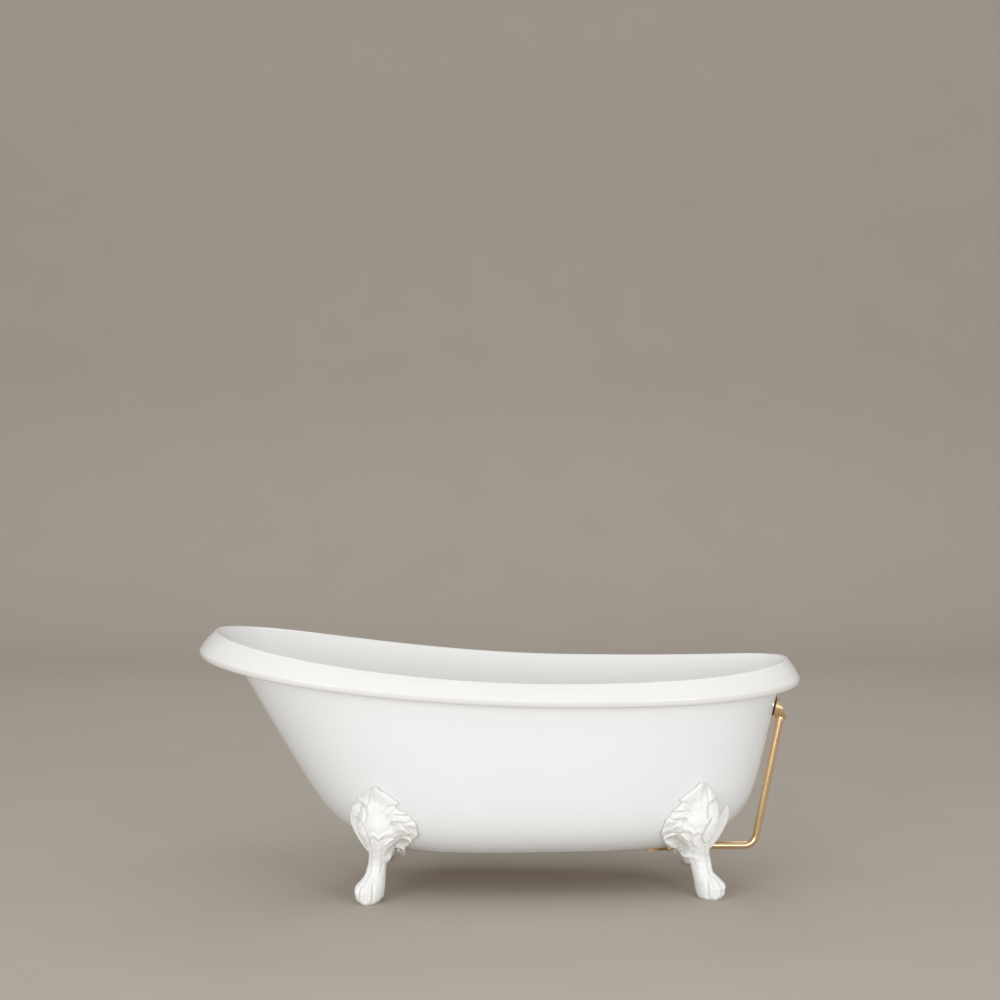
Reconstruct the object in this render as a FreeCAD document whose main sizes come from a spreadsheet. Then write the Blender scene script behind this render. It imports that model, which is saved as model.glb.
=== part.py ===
import FreeCAD, Part
import math
import os
from types import SimpleNamespace

import Sketcher
from FreeCAD import Placement, Rotation, Vector

# A single-ended slipper bath on four claw feet, with its waste, overflow, plug and chain.
# Millimetres, +Z up. X runs from the raised head end (-X) to the tap end (+X), and the
# origin is on the floor under the middle of the rim. The bath is alike on both sides of Y = 0.

# ---------------------------------------------------------------- driving dimensions

SIZES = {
    # the rim, seen from above, and the line of its inner top edge
    "tub_length": 1700,
    "tub_width": 800,
    "egg_skew": -0.137,        # how much fuller the head end is than the tap end
    "egg_fullness": 0.377,
    "egg_bluntness": -0.14,
    "rim_low_height": 599,     # the edge's lowest level over the floor
    "rim_low_from_tap_end": 640,
    "rim_head_rise": 113,
    "rim_tap_rise": 33,
    "rim_head_curve": 1.88,
    "rim_tap_curve": 2.7,
    # the rolled band outside that edge: width in plan and fall, at head, sides and tap end
    "band_width_head": 47,
    "band_width_side": 43,
    "band_width_tap": 37,
    "band_fall_head": 54,
    "band_fall_side": 40,
    "band_fall_tap": 56,
    "band_crown": 5,           # how far the band bulges over a straight slope
    "roll_inset": 9,           # the rounded lower edge tucks in by this much
    "roll_depth": 18,
    "seam_gap": 0.3,           # between the band's return and the outer skin
    # the outer skin: base outline, top outline in from the band's edge, and its swell
    "base_level": 117,
    "base_inset_head": 500,    # in from the rim's ends and sides
    "base_inset_tap": 305,
    "base_inset_side": 200,
    "skin_top_inset_head": 103,
    "skin_top_inset_side": 55,
    "skin_top_inset_tap": 60,
    "skin_top_drop_head": 85,
    "skin_top_drop_side": 62,
    "skin_top_drop_tap": 80,
    "skin_swell_head": 0.235,
    "skin_swell_side": 0.62,
    "skin_swell_tap": 0.586,
    "skin_rate_head": 10,
    "skin_rate_side": 9,
    "skin_rate_tap": 8.2,
    "skin_wall": 5,
    # the bathing shell: flat floor, and walls that swell out fast and flare at the rim
    "board_thickness": 18,
    "shell_wall": 6,
    "floor_inset_head": 5,     # in from the base's outline
    "floor_inset_tap": 5,
    "floor_inset_side": 22,
    "shell_swell_head": 0.12,
    "shell_swell_side": 0.5,
    "shell_swell_tap": 0.57,
    "shell_rate": 8,
    "shell_flare_head": 0.07,
    "shell_flare_side": 0.16,
    "shell_flare_tap": 0.13,
    "shell_flare_power": 9,
    "fit_gap": 0.3,
    # the claw feet
    "foot_height": 318,
    "head_foot_past_end": -1,  # the paw's middle, out from the base's ends and sides
    "head_foot_past_side": 68,
    "tap_foot_past_end": 27,
    "tap_foot_past_side": 13,
    "paw_length": 94,
    "paw_width": 76,
    "paw_height": 48,
    "paw_turn": 45,            # the way the paw points, in degrees round from -Y
    "knee_turn": 22,
    "toe_radius": 13,
    "ankle_level": 98,
    "ankle_thickness": 51,
    "knee_level": 210,
    "knee_width": 150,
    "leaf_thickness": 14,
    "scroll_radius": 20,
    "scroll_level": 243,
    "tongue_thickness": 18,
    "tongue_edge": 7,          # beside the washers
    # what fastens them
    "bolt_radius": 5,
    "bolt_hole_radius": 5.5,
    "bolt_seat_head": 137,     # the flat under each bolt's washer, over the floor
    "bolt_seat_tap": 128,
    "bolt_along": 57,          # from the paw's middle, towards the middle of the bath
    "bolt_inward": 68,         # from the paw's middle, towards the centre line
    "bolt_spacing": 30,        # along the bath; the two stand level on the skin's slope
    "bolt_stagger": 19,
    "bolt_head_height": 6.4,
    "bolt_head_radius": 9.2,
    "washer_radius": 10,
    "washer_thickness": 2,
    "block_length": 90,
    "block_width": 50,
    "block_top_head": 175,
    "block_top_tap": 164,
    "insert_radius": 7,
    "insert_depth": 10,
    # the waste
    "waste_from_base_end": 115,
    "waste_flange_radius": 30,
    "waste_flange_thickness": 2.5,
    "waste_gasket": 1.5,
    "strainer_radius": 22,
    "strainer_depth": 5,
    "strainer_plate": 2.5,
    "strainer_hole_radius": 4.2,
    "strainer_hole_circle": 14,
    "tail_radius": 24,
    "tail_length": 30,
    "screw_radius": 3,
    "screw_head_radius": 5.5,
    "screw_head_height": 2.5,
    "waste_screw_length": 40,
    "body_gasket": 3,
    "body_flange_radius": 35,
    "body_flange": 4,
    "body_radius": 28,
    "body_bottom_level": 88,
    "body_wall": 3,
    "boss_radius": 7,
    "outlet_radius": 16,
    "outlet_level": 93.5,
    "outlet_length": 35,
    "outlet_neck": 9,          # the plain neck before the band that a hose slides over
    "outlet_neck_radius": 15,
    "outlet_bore_radius": 13,
    # the overflow pipe
    "pipe_radius": 11,
    "pipe_wall": 1,
    "pipe_level": 96,
    "pipe_bend_radius": 36,
    "pipe_lean": 11.6,         # degrees from upright
    "pipe_top_drop": 35,       # under the overflow's level
    "pipe_top_out": 40.5,      # out from the inner wall at the overflow
    "socket_radius": 14.5,
    "socket_length": 16,
    "collar_radius": 14.5,
    "collar_height": 6,
    "nut_radius": 17,
    "nut_length": 12,
    "olive_length": 5,
    # the overflow, on an axis square to the wall at the tap end
    "overflow_level": 497,
    "rosette_radius": 30,
    "rosette_thickness": 3,
    "rosette_gasket": 3.6,     # at its middle: the wall curves towards it at the sides
    "rosette_tail_radius": 25,
    "rosette_tail_length": 12,
    "rosette_socket_radius": 22.7,
    "rosette_floor": 3,
    "rosette_hole_radius": 4,
    "rosette_hole_circle": 14,
    "wall_hole_radius": 26,
    "packer_radius": 36,
    "overflow_gasket": 3,
    "elbow_radius": 29,
    "elbow_depth": 38,
    "elbow_wall": 4,
    "elbow_tip": 6,
    "overflow_screw_length": 40,
    # plug and chain
    "plug_gap": 0.3,
    "seal_radius": 27,
    "seal_flange": 3,
    "seal_top_radius": 22.2,
    "seal_tip_radius": 20.5,
    "seal_depth": 8,
    "cap_radius": 28,
    "cap_height": 9,
    "cap_edge": 1.5,
    "eye_radius": 4,
    "eye_wire": 1,
    "chain_radius": 1.2,
    "chain_drop": 249,
    "chain_loop_radius": 9,  # of the loop's turn at the bottom
    "chain_rise": 2.2,         # from the wall of the bath to the chain's middle
    "coupling_radius": 1.9,
    "coupling_length": 8,
    "coupling_gap": 0.15,      # between a coupling and the chain that it grips
}

document = FreeCAD.newDocument("ClawfootBath")
sheet = document.addObject("Spreadsheet::Sheet", "Sizes")


def write_cells(values):
    """Each size has a row of its own: its name, and its value under that name as alias."""
    for name, value in values.items():
        write_cells.row += 1
        sheet.set("A%d" % write_cells.row, name)
        sheet.set("B%d" % write_cells.row, str(value))
        sheet.setAlias("B%d" % write_cells.row, name)
    document.recompute()


write_cells.row = 0
write_cells(SIZES)
d = SimpleNamespace(**{name: float(sheet.get(name)) for name in SIZES})

# ---------------------------------------------------------------- the bath's level lines

RING_SPANS = 14                # a half ring is one smooth edge through this many spans
STATIONS = ("head", "side", "tap")
SKIN_STEPS = (0, 0.03, 0.08, 0.15, 0.25, 0.4, 0.55, 0.7, 0.85, 1)
SHELL_STEPS = (0, 0.015, 0.04, 0.08, 0.14, 0.22, 0.34, 0.5, 0.66, 0.8, 0.9, 1)
BACK_STEPS = SHELL_STEPS[:-1]

floor_level = d.base_level + d.board_thickness + d.shell_wall
tub_height = d.rim_low_height + max(d.rim_head_rise, d.rim_tap_rise)
rim_reach_head = d.tub_length / 2 - d.band_width_head
rim_reach_tap = d.tub_length / 2 - d.band_width_tap
rim_low_x = d.tub_length / 2 - d.rim_low_from_tap_end
base_reach_head = d.tub_length / 2 - d.base_inset_head
base_reach_tap = d.tub_length / 2 - d.base_inset_tap
base_half_width = d.tub_width / 2 - d.base_inset_side
waste_x = base_reach_tap - d.waste_from_base_end


def station_sizes(prefix):
    """The three sizes that share a name: at the head, at the sides and at the tap end."""
    return [getattr(d, prefix + "_" + station) for station in STATIONS]


def egg(c):
    """How full the outline is at c, which runs from -1 at the head to +1 at the tap end."""
    return 1 + d.egg_skew * c + d.egg_fullness * c ** 2 + d.egg_bluntness * c ** 4


egg_widest = max(math.sin(math.radians(a)) * egg(-math.cos(math.radians(a))) for a in range(181))


def mixed(values, c):
    """A size between its three stations, smoothly."""
    head, side, tap = values
    if c < 0:
        return side + (head - side) * c * c
    return side + (tap - side) * c * c


def rim_line(c):
    """Level of the rim's inner top edge."""
    x = (rim_reach_tap - rim_reach_head) / 2 + (rim_reach_tap + rim_reach_head) / 2 * c
    if x < rim_low_x:
        share = (rim_low_x - x) / (rim_low_x + rim_reach_head)
        return d.rim_low_height + d.rim_head_rise * share ** d.rim_head_curve
    share = (x - rim_low_x) / (rim_reach_tap - rim_low_x)
    return d.rim_low_height + d.rim_tap_rise * share ** d.rim_tap_curve


def ring_point(reaches, level, c):
    """A point on the near half of a level line with these reaches: head, side and tap."""
    head, side, tap = reaches
    x = (tap - head) / 2 + (tap + head) / 2 * c
    y = -side * math.sqrt(max(0, 1 - c * c)) * egg(c) / egg_widest
    return Vector(x, y, level(c))


def half_ring(reaches, level):
    """The near half of a level line as one edge that leaves both ends square to Y = 0."""
    turns = [math.pi * i / RING_SPANS for i in range(RING_SPANS + 1)]
    curve = Part.BSplineCurve()
    curve.interpolate(
        Points=[ring_point(reaches, level, -math.cos(turn)) for turn in turns],
        Parameters=turns,
        InitialTangent=Vector(0, -reaches[1] * egg(-1) / egg_widest, 0),
        FinalTangent=Vector(0, reaches[1] * egg(1) / egg_widest, 0),
        Scale=False,
    )
    return curve.toShape()


def both_sides(shape):
    """A shape and its mirror image across Y = 0."""
    return [shape, shape.mirror(Vector(0, 0, 0), Vector(0, 1, 0))]


def skinned(edges, ruled=False):
    """Smooth faces through half rings, on both sides of the bath."""
    near = Part.makeLoft([Part.Wire(edge) for edge in edges], False, ruled)
    return [face for side in both_sides(near) for face in side.Faces]


def flat_cap(edge):
    """The flat face inside a level half ring and its mirror image."""
    return [Part.Face(Part.Wire(both_sides(edge)))]


def closed_solid(faces):
    """One solid from faces that meet edge to edge."""
    shell = Part.makeCompound(faces)
    shell.sewShape()
    solid = Part.makeSolid(shell.Shells[0])
    if solid.Volume < 0:
        solid.reverse()
    return solid


def wall_shape(bottom_reaches, top_reaches, bottom, drops, swells, rates, flares, power):
    """One curved wall, from a flat bottom ring up to a ring that follows the rim."""
    return SimpleNamespace(
        low=bottom_reaches, high=top_reaches, bottom=bottom, drops=drops,
        swells=swells, rates=rates, flares=flares, power=power,
    )


def spread(wall, station, step):
    """How far a wall has spread at this share of its height, and how fast it spreads."""
    swell, rate, flare = wall.swells[station], wall.rates[station], wall.flares[station]
    steady = 1 - swell - flare
    far = steady * step + swell * (1 - (1 - step) ** rate) + flare * step ** wall.power
    fast = steady + swell * rate * (1 - step) ** (rate - 1)
    fast += flare * wall.power * step ** (wall.power - 1)
    return far, fast


def wall_ring(wall, step, offset=0.0, level_at=None):
    """A level line of a wall, moved square to the wall by the offset.

    level_at gives a flat ring at that level instead, moved out level by the offset."""
    reaches, sinks = [], []
    for station, c in enumerate((-1, 0, 1)):
        travel = wall.high[station] - wall.low[station]
        far, fast = spread(wall, station, step)
        run = travel * fast
        rise = rim_line(c) - wall.drops[station] - wall.bottom
        slope = math.hypot(run, rise)
        out = offset if level_at is not None else offset * rise / slope
        reaches.append(wall.low[station] + travel * far + out)
        sinks.append(offset * run / slope)

    def level(c):
        if level_at is not None:
            return level_at
        top = rim_line(c) - mixed(wall.drops, c)
        return wall.bottom + step * (top - wall.bottom) - mixed(sinks, c)

    return half_ring(reaches, level)


def wall_reach(wall, station, level):
    """How far out a wall is at this level of a station, and its lean there in degrees."""
    top = rim_line((-1, 0, 1)[station]) - wall.drops[station]
    step = (level - wall.bottom) / (top - wall.bottom)
    far, fast = spread(wall, station, step)
    travel = wall.high[station] - wall.low[station]
    lean = math.degrees(math.atan2(travel * fast, top - wall.bottom))
    return wall.low[station] + travel * far, lean


def band_ring(insets, drops):
    """A ring of the rolled band, in from its outermost line and down from the rim's edge."""
    half = (d.tub_length / 2, d.tub_width / 2, d.tub_length / 2)
    reaches = [size - inset for size, inset in zip(half, insets)]
    return half_ring(reaches, lambda c: rim_line(c) - mixed(drops, c))


band_widths = station_sizes("band_width")
band_falls = station_sizes("band_fall")
skin_drops = station_sizes("skin_top_drop")
skin_insets = station_sizes("skin_top_inset")
skin_top = [
    d.tub_length / 2 - skin_insets[0],
    d.tub_width / 2 - skin_insets[1],
    d.tub_length / 2 - skin_insets[2],
]
SKIN = wall_shape(
    [base_reach_head, base_half_width, base_reach_tap], skin_top,
    d.base_level, skin_drops, station_sizes("skin_swell"), station_sizes("skin_rate"),
    [0, 0, 0], 1,
)
SHELL = wall_shape(
    [
        base_reach_head - d.floor_inset_head,
        base_half_width - d.floor_inset_side,
        base_reach_tap - d.floor_inset_tap,
    ],
    [rim_reach_head, d.tub_width / 2 - d.band_width_side, rim_reach_tap],
    floor_level, [0, 0, 0], station_sizes("shell_swell"), [d.shell_rate] * 3,
    station_sizes("shell_flare"), d.shell_flare_power,
)


def enclosed(wall, steps, offset, bottom):
    """The solid room inside a wall, closed flat below at its bottom and above the rim."""
    rings = [wall_ring(wall, 0, offset, bottom)]
    rings += [wall_ring(wall, step, offset) for step in steps[1:]]
    reaches = [high + offset for high in wall.high]
    lid = half_ring(reaches, lambda c: tub_height + d.board_thickness)
    faces = skinned(rings) + skinned([rings[-1], lid], True)
    return closed_solid(faces + flat_cap(rings[0]) + flat_cap(lid))


def cylinder(radius, height, base, axis=Vector(0, 0, 1)):
    """A plain solid cylinder, for a hole or a round part of a casting."""
    return Part.makeCylinder(radius, height, base, axis)


def solid_feature(label, shape):
    """A piece whose shape is worked out here from the sheet's sizes."""
    feature = document.addObject("Part::Feature", label)
    feature.Label = label
    feature.Shape = shape
    feature.Placement = Placement()
    return feature


# ---------------------------------------------------------------- where the fittings sit

overflow_x, overflow_lean = wall_reach(SHELL, 2, d.overflow_level)
outside_x, _ = wall_reach(SKIN, 2, d.overflow_level)
overflow_axis = Vector(
    math.cos(math.radians(overflow_lean)), 0, -math.sin(math.radians(overflow_lean))
)
wall_span = (outside_x - overflow_x) * overflow_axis.x   # inner face to outer face
elbow_start = wall_span + d.overflow_gasket
pipe_top = Vector(overflow_x + d.pipe_top_out, 0, d.overflow_level - d.pipe_top_drop)
write_cells({
    "floor_level": floor_level,
    "waste_x": waste_x,
    "overflow_x": round(overflow_x, 3),
    "overflow_lean": round(overflow_lean, 4),
    "wall_span": round(wall_span, 3),
})


def on_overflow(distance, aside=0.0):
    """A point on the overflow's axis, from the inner wall outwards, and up from the axis."""
    up = Vector(-overflow_axis.z, 0, overflow_axis.x)
    return Vector(overflow_x, 0, d.overflow_level) + overflow_axis * distance + up * aside


def on_waste(level):
    """A point on the waste's axis at a level over the floor of the room."""
    return Vector(waste_x, 0, level)


def at_waste(expression):
    """Stands a piece on the waste's axis, with its base at this level."""
    return "placement(vector(Sizes.waste_x; 0; %s); rotation(vector(0; 0; 1); 0))" % expression


def at_overflow(expression):
    """Lays a piece along the overflow's axis, its base this far out from the inner wall."""
    return (
        "placement(vector(Sizes.overflow_x + (%s) * cos(Sizes.overflow_lean); 0;"
        " Sizes.overflow_level - (%s) * sin(Sizes.overflow_lean));"
        " rotation(vector(0; 1; 0); 90 + Sizes.overflow_lean))" % (expression, expression)
    )


# ---------------------------------------------------------------- the bath itself


def tub_inner_shell():
    """The bathing shell: floor, walls, rolled band and its return, one wall thick."""
    wall = d.shell_wall
    middles = [width * 0.45 for width in band_widths]
    crowns = [fall / 2 - d.band_crown for fall in band_falls]
    no_inset = [0, 0, 0]
    low_insets = [d.roll_inset] * 3
    low_drops = [fall + d.roll_depth for fall in band_falls]
    inner = [wall_ring(SHELL, step) for step in SHELL_STEPS]
    band = [
        inner[-1],
        band_ring(middles, crowns),
        band_ring(no_inset, band_falls),
        band_ring([0.12 * d.roll_inset] * 3, [fall + d.roll_depth * 0.5 for fall in band_falls]),
        band_ring(low_insets, low_drops),
    ]
    seam = [inset - d.seam_gap for inset in skin_insets]
    under = band_ring(seam, [drop + wall / 3 for drop in skin_drops])
    over = band_ring(seam, [drop - wall / 3 for drop in skin_drops])
    hollow = [
        band_ring([d.roll_inset + wall] * 3, [drop - wall for drop in low_drops]),
        band_ring([wall] * 3, band_falls),
        band_ring([middle + wall / 2 for middle in middles], [drop + wall for drop in crowns]),
        band_ring([width - 1 for width in band_widths], [wall * 1.2] * 3),
    ]
    back = [wall_ring(SHELL, 0, wall / 2, floor_level - wall)]
    back += [wall_ring(SHELL, step, wall) for step in BACK_STEPS[1:]]
    faces = flat_cap(inner[0]) + skinned(inner) + skinned(band)
    faces += skinned([band[-1], under], True) + skinned([under, over], True)
    faces += skinned([over, hollow[0]], True) + skinned(hollow)
    faces += skinned(back + [hollow[-1]]) + flat_cap(back[0])
    shape = closed_solid(faces)
    shape = shape.cut(cylinder(d.tail_radius + d.fit_gap, wall * 3, on_waste(floor_level - wall * 2)))
    return shape.cut(cylinder(d.wall_hole_radius, wall * 4, on_overflow(-wall), overflow_axis))


def tub_outer_skin():
    """The outside of the bath, open below for the base board and above under the band."""
    wall = d.skin_wall
    outer = [wall_ring(SKIN, step) for step in SKIN_STEPS]
    inner = [wall_ring(SKIN, 0, -2 * wall, d.base_level)]
    inner += [wall_ring(SKIN, step, -wall) for step in SKIN_STEPS[1:]]
    faces = skinned(outer) + skinned(inner)
    faces += skinned([outer[0], inner[0]], True) + skinned([outer[-1], inner[-1]], True)
    shape = closed_solid(faces)
    for x, y, _ in bolt_places():
        shape = shape.cut(cylinder(d.bolt_hole_radius, d.block_top_head, Vector(x, y, 0)))
    start = wall_span - 3 * wall
    return shape.cut(cylinder(d.wall_hole_radius, wall * 6, on_overflow(start), overflow_axis))


def base_board():
    """The flat board under the floor, inside the lower edge of the skin."""
    reach = -2 * d.skin_wall - d.fit_gap
    outline = flat_cap(wall_ring(SKIN, 0, reach, d.base_level))[0]
    board = outline.extrude(Vector(0, 0, d.board_thickness))
    hole = cylinder(d.tail_radius + d.fit_gap, d.board_thickness, on_waste(d.base_level))
    return board.cut(hole)


# ---------------------------------------------------------------- the claw feet

head_foot_x = base_reach_head + d.head_foot_past_end
head_foot_y = base_half_width + d.head_foot_past_side
tap_foot_x = base_reach_tap + d.tap_foot_past_end
tap_foot_y = base_half_width + d.tap_foot_past_side
FEET = {
    "head_near": (-1, head_foot_x, head_foot_y, -1),
    "head_far": (-1, head_foot_x, head_foot_y, 1),
    "tap_near": (1, tap_foot_x, tap_foot_y, -1),
    "tap_far": (1, tap_foot_x, tap_foot_y, 1),
}
OVAL_SPANS = 12


def bolt_shifts():
    """How far each of a foot's two bolts stands from their middle: along, and inward."""
    return [(share * d.bolt_spacing, -share * d.bolt_stagger) for share in (-0.5, 0.5)]


def bolt_places():
    """Where the eight foot bolts stand on the floor plan, with their end of the bath."""
    places = []
    for end, foot_x, foot_y, side in FEET.values():
        for along, inward in bolt_shifts():
            x = end * (foot_x - d.bolt_along - along)
            y = side * (foot_y - d.bolt_inward - inward)
            places.append((x, y, "head" if end < 0 else "tap"))
    return places


def oval(centre, deep, wide):
    """A closed smooth outline round a point, through the ends of two half axes."""
    turns = [2 * math.pi * i / OVAL_SPANS for i in range(OVAL_SPANS)]
    curve = Part.BSplineCurve()
    points = [centre + deep * math.cos(turn) + wide * math.sin(turn) for turn in turns]
    curve.interpolate(Points=points, PeriodicFlag=True)
    return Part.Wire(curve.toShape())


def leaf_outline():
    """The cast leaf against the bath, seen square from the side: along, up, and arc middles.

    Each stretch runs from its start through a middle to the next stretch's start."""
    top = d.foot_height
    knee = d.knee_level
    half = d.knee_width / 2
    scroll = d.scroll_level
    return [
        ((-8, d.ankle_level + 22), (-half * 0.62, knee - 28)),
        ((-half * 0.56, scroll + 22), (-half * 0.5, scroll + 48)),
        ((-half * 0.26, scroll + 55), (half * 0.16, top)),
        ((half * 0.55, top - 18), (half * 0.9, top - 28)),
        ((half * 0.92, top - 54), (half * 1.3, top - 58)),
        ((half * 1.34, top - 82), (half * 1.76, knee - 6)),
        ((half * 1.44, knee - 52), (half * 0.92, knee - 70)),
        ((half * 0.5, d.ankle_level + 6), None),
    ]


def claw_foot(end, foot_x, foot_y, envelope, leaf_coat, tongue_coat):
    """One cast foot on the near side: paw with four toes, leg, knee, leaf, scroll, tongue."""
    inward = -end

    def at(along, out, up):
        return Vector(end * foot_x + inward * along, -(foot_y + out), up)

    def facing(turn):
        angle = math.radians(turn)
        forward = Vector(-inward * math.sin(angle), -math.cos(angle), 0)
        return forward, Vector(inward * math.cos(angle), -math.sin(angle), 0)

    ankle = d.ankle_thickness
    climb = d.knee_level - d.ankle_level
    crown = d.foot_height - d.knee_level
    # level, shift forward, half depth, half width, and the way it faces
    sections = [
        (0, -3, d.paw_length * 0.42, d.paw_width * 0.44, d.paw_turn),
        (d.paw_height * 0.4, -3, d.paw_length * 0.44, d.paw_width * 0.47, d.paw_turn),
        (d.paw_height, -8, d.paw_length * 0.37, d.paw_width * 0.43, d.paw_turn),
        (d.ankle_level * 0.78, -17, ankle * 0.57, ankle * 0.55, d.paw_turn),
        (d.ankle_level, -24, ankle * 0.5, ankle * 0.5, d.paw_turn - 5),
        (d.ankle_level + climb * 0.3, -38, ankle * 0.76, d.knee_width * 0.28, 35),
        (d.ankle_level + climb * 0.6, -44, ankle * 0.96, d.knee_width * 0.42, 28),
        (d.knee_level, -34, ankle * 0.94, d.knee_width * 0.5, d.knee_turn),
        (d.knee_level + crown * 0.48, -32, ankle * 0.8, d.knee_width * 0.38, d.knee_turn),
        (d.knee_level + crown * 0.88, -30, ankle * 0.6, d.knee_width * 0.19, d.knee_turn),
    ]
    rings = []
    for level, shift, deep, wide, turn in sections:
        forward, sideways = facing(turn)
        rings.append(oval(at(0, 0, level) + forward * shift, forward * deep, sideways * wide))
    foot = Part.makeLoft(rings, True)

    forward, sideways = facing(d.paw_turn)
    knobs = []
    for i in range(4):
        aside = (i - 1.5) * (d.paw_width - 1.4 * d.toe_radius) / 3
        ahead = d.paw_length * 0.5 - d.toe_radius * (0.7 + 0.4 * abs(i - 1.5))
        tip = at(0, 0, d.toe_radius) + forward * ahead + sideways * aside
        top = at(0, 0, d.ankle_level * 0.8) + forward * (ankle * 0.1) + sideways * (aside * 0.4)
        ridge = top - tip
        thick = d.toe_radius * 0.92
        knobs.append(Part.makeSphere(d.toe_radius, tip))
        knobs.append(Part.makeCone(thick, thick * 0.5, ridge.Length, tip, ridge))

    depth = foot_y + d.knee_width
    stretches = leaf_outline()
    edges = []
    for i, (start, middle) in enumerate(stretches):
        nxt = stretches[(i + 1) % len(stretches)][0]
        a = Vector(end * foot_x + inward * start[0], -depth, start[1])
        b = Vector(end * foot_x + inward * nxt[0], -depth, nxt[1])
        if middle is None:
            edges.append(Part.LineSegment(a, b).toShape())
        else:
            m = Vector(end * foot_x + inward * middle[0], -depth, middle[1])
            edges.append(Part.Arc(a, m, b).toShape())
    leaf = Part.Face(Part.Wire(edges)).extrude(Vector(0, depth - d.knee_width / 2, 0))
    leaf = leaf.common(leaf_coat).cut(envelope)

    tongue_width = d.bolt_spacing + 2 * d.washer_radius + 2 * d.tongue_edge
    tongue_size = Vector(tongue_width, d.bolt_inward + 20, d.knee_level - d.ankle_level)
    corner = at(d.bolt_along, -d.bolt_inward - 20, d.ankle_level)
    corner -= Vector(tongue_size.x / 2, tongue_size.y, 0)
    tongue = Part.makeBox(tongue_size.x, tongue_size.y, tongue_size.z * 0.75, corner)
    tongue = tongue.common(tongue_coat).cut(envelope)

    forward, sideways = facing(d.knee_turn)
    middle = at(-d.scroll_radius * 0.7, -d.scroll_radius * 2, d.scroll_level)
    knobs.append(cylinder(d.scroll_radius, d.scroll_radius * 3, middle, forward))
    eye = middle + forward * (d.scroll_radius * 3)
    knobs.append(cylinder(d.scroll_radius * 0.4, d.scroll_radius * 0.25, eye, forward))

    foot = foot.fuse(knobs).cut(envelope).fuse([leaf, tongue])
    below = Part.makeBox(4 * foot_x, 4 * foot_y, foot_y, Vector(-2 * foot_x, -3 * foot_y, -foot_y))
    foot = foot.cut(below)
    seat_level = d.bolt_seat_head if end < 0 else d.bolt_seat_tap
    for along, inward_shift in bolt_shifts():
        spot = at(d.bolt_along + along, -d.bolt_inward - inward_shift, seat_level)
        hole = cylinder(d.bolt_hole_radius, climb, spot)
        seat = cylinder(d.washer_radius + 1, climb, spot - Vector(0, 0, climb))
        foot = foot.cut(hole.fuse(seat))
    return max(foot.Solids, key=lambda solid: solid.Volume)


def build_feet():
    """The four castings and the four blocks that their bolts hold in."""
    envelope = enclosed(SKIN, SKIN_STEPS, 0, d.base_level)
    leaf_coat = enclosed(SKIN, SKIN_STEPS, d.leaf_thickness, d.base_level - d.leaf_thickness)
    tongue_bottom = d.base_level - d.tongue_thickness
    tongue_coat = enclosed(SKIN, SKIN_STEPS, d.tongue_thickness, tongue_bottom)
    clear = -d.skin_wall - d.fit_gap
    room = enclosed(SKIN, SKIN_STEPS, clear, d.base_level)
    shell_back = enclosed(SHELL, BACK_STEPS, d.shell_wall + 2 * d.fit_gap, d.base_level)
    castings, blocks = {}, {}
    for name, (end, foot_x, foot_y, side) in FEET.items():
        if side > 0:
            continue
        casting = claw_foot(end, foot_x, foot_y, envelope, leaf_coat, tongue_coat)
        corner = Vector(
            end * (foot_x - d.bolt_along) - d.block_length / 2,
            -(foot_y - d.bolt_inward) - d.block_width / 2,
            d.base_level + d.board_thickness,
        )
        block_top = d.block_top_head if end < 0 else d.block_top_tap
        block = Part.makeBox(d.block_length, d.block_width, block_top - corner.z, corner)
        block = block.common(room).cut(shell_back)
        for x, y, _ in bolt_places():
            block = block.cut(cylinder(d.bolt_hole_radius, tub_height, Vector(x, y, 0)))
            pocket = Vector(x, y, block_top - d.insert_depth)
            block = block.cut(cylinder(d.insert_radius + d.fit_gap, d.insert_depth, pocket))
        block = max(block.Solids, key=lambda solid: solid.Volume)
        far = name.replace("near", "far")
        castings[name], castings[far] = both_sides(casting)
        blocks[name], blocks[far] = both_sides(block)
    return castings, blocks


def at_bolts(pieces):
    """One group of like fasteners: at each bolt, a copy of the piece for that end."""
    copies = []
    for x, y, end in bolt_places():
        copy = pieces[end].copy()
        copy.translate(Vector(x, y, 0))
        copies.append(copy)
    return Part.makeCompound(copies)


def hexagon(radius, height, base):
    """A hexagonal prism standing on its base."""
    corners = [
        base + Vector(radius * math.cos(math.pi * i / 3), radius * math.sin(math.pi * i / 3), 0)
        for i in range(7)
    ]
    return Part.Face(Part.makePolygon(corners)).extrude(Vector(0, 0, height))


ENDS = {
    "head": (d.bolt_seat_head, d.block_top_head),
    "tap": (d.bolt_seat_tap, d.block_top_tap),
}


def foot_bolts():
    """Hexagon bolts, driven up from below through tongue, skin and block."""
    bolts = {}
    for end, (seat, top) in ENDS.items():
        under = seat - d.washer_thickness
        head = hexagon(d.bolt_head_radius, d.bolt_head_height, Vector(0, 0, under - d.bolt_head_height))
        bolts[end] = head.fuse(cylinder(d.bolt_radius, top - under, Vector(0, 0, under)))
    return at_bolts(bolts)


def foot_washers():
    washers = {}
    for end, (seat, _) in ENDS.items():
        base = Vector(0, 0, seat - d.washer_thickness)
        disc = cylinder(d.washer_radius, d.washer_thickness, base)
        washers[end] = disc.cut(cylinder(d.bolt_hole_radius, d.washer_thickness, base))
    return at_bolts(washers)


def foot_inserts():
    """Threaded inserts, let into the top of each block."""
    inserts = {}
    for end, (_, top) in ENDS.items():
        base = Vector(0, 0, top - d.insert_depth)
        barrel = cylinder(d.insert_radius, d.insert_depth, base)
        inserts[end] = barrel.cut(cylinder(d.bolt_radius, d.insert_depth, base))
    return at_bolts(inserts)


# ---------------------------------------------------------------- turned pieces


def origin_plane(body, role):
    """One of a body's own origin planes."""
    for feature in body.Origin.OriginFeatures:
        if feature.Role == role:
            return feature
    raise ValueError("no plane " + role)


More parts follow.
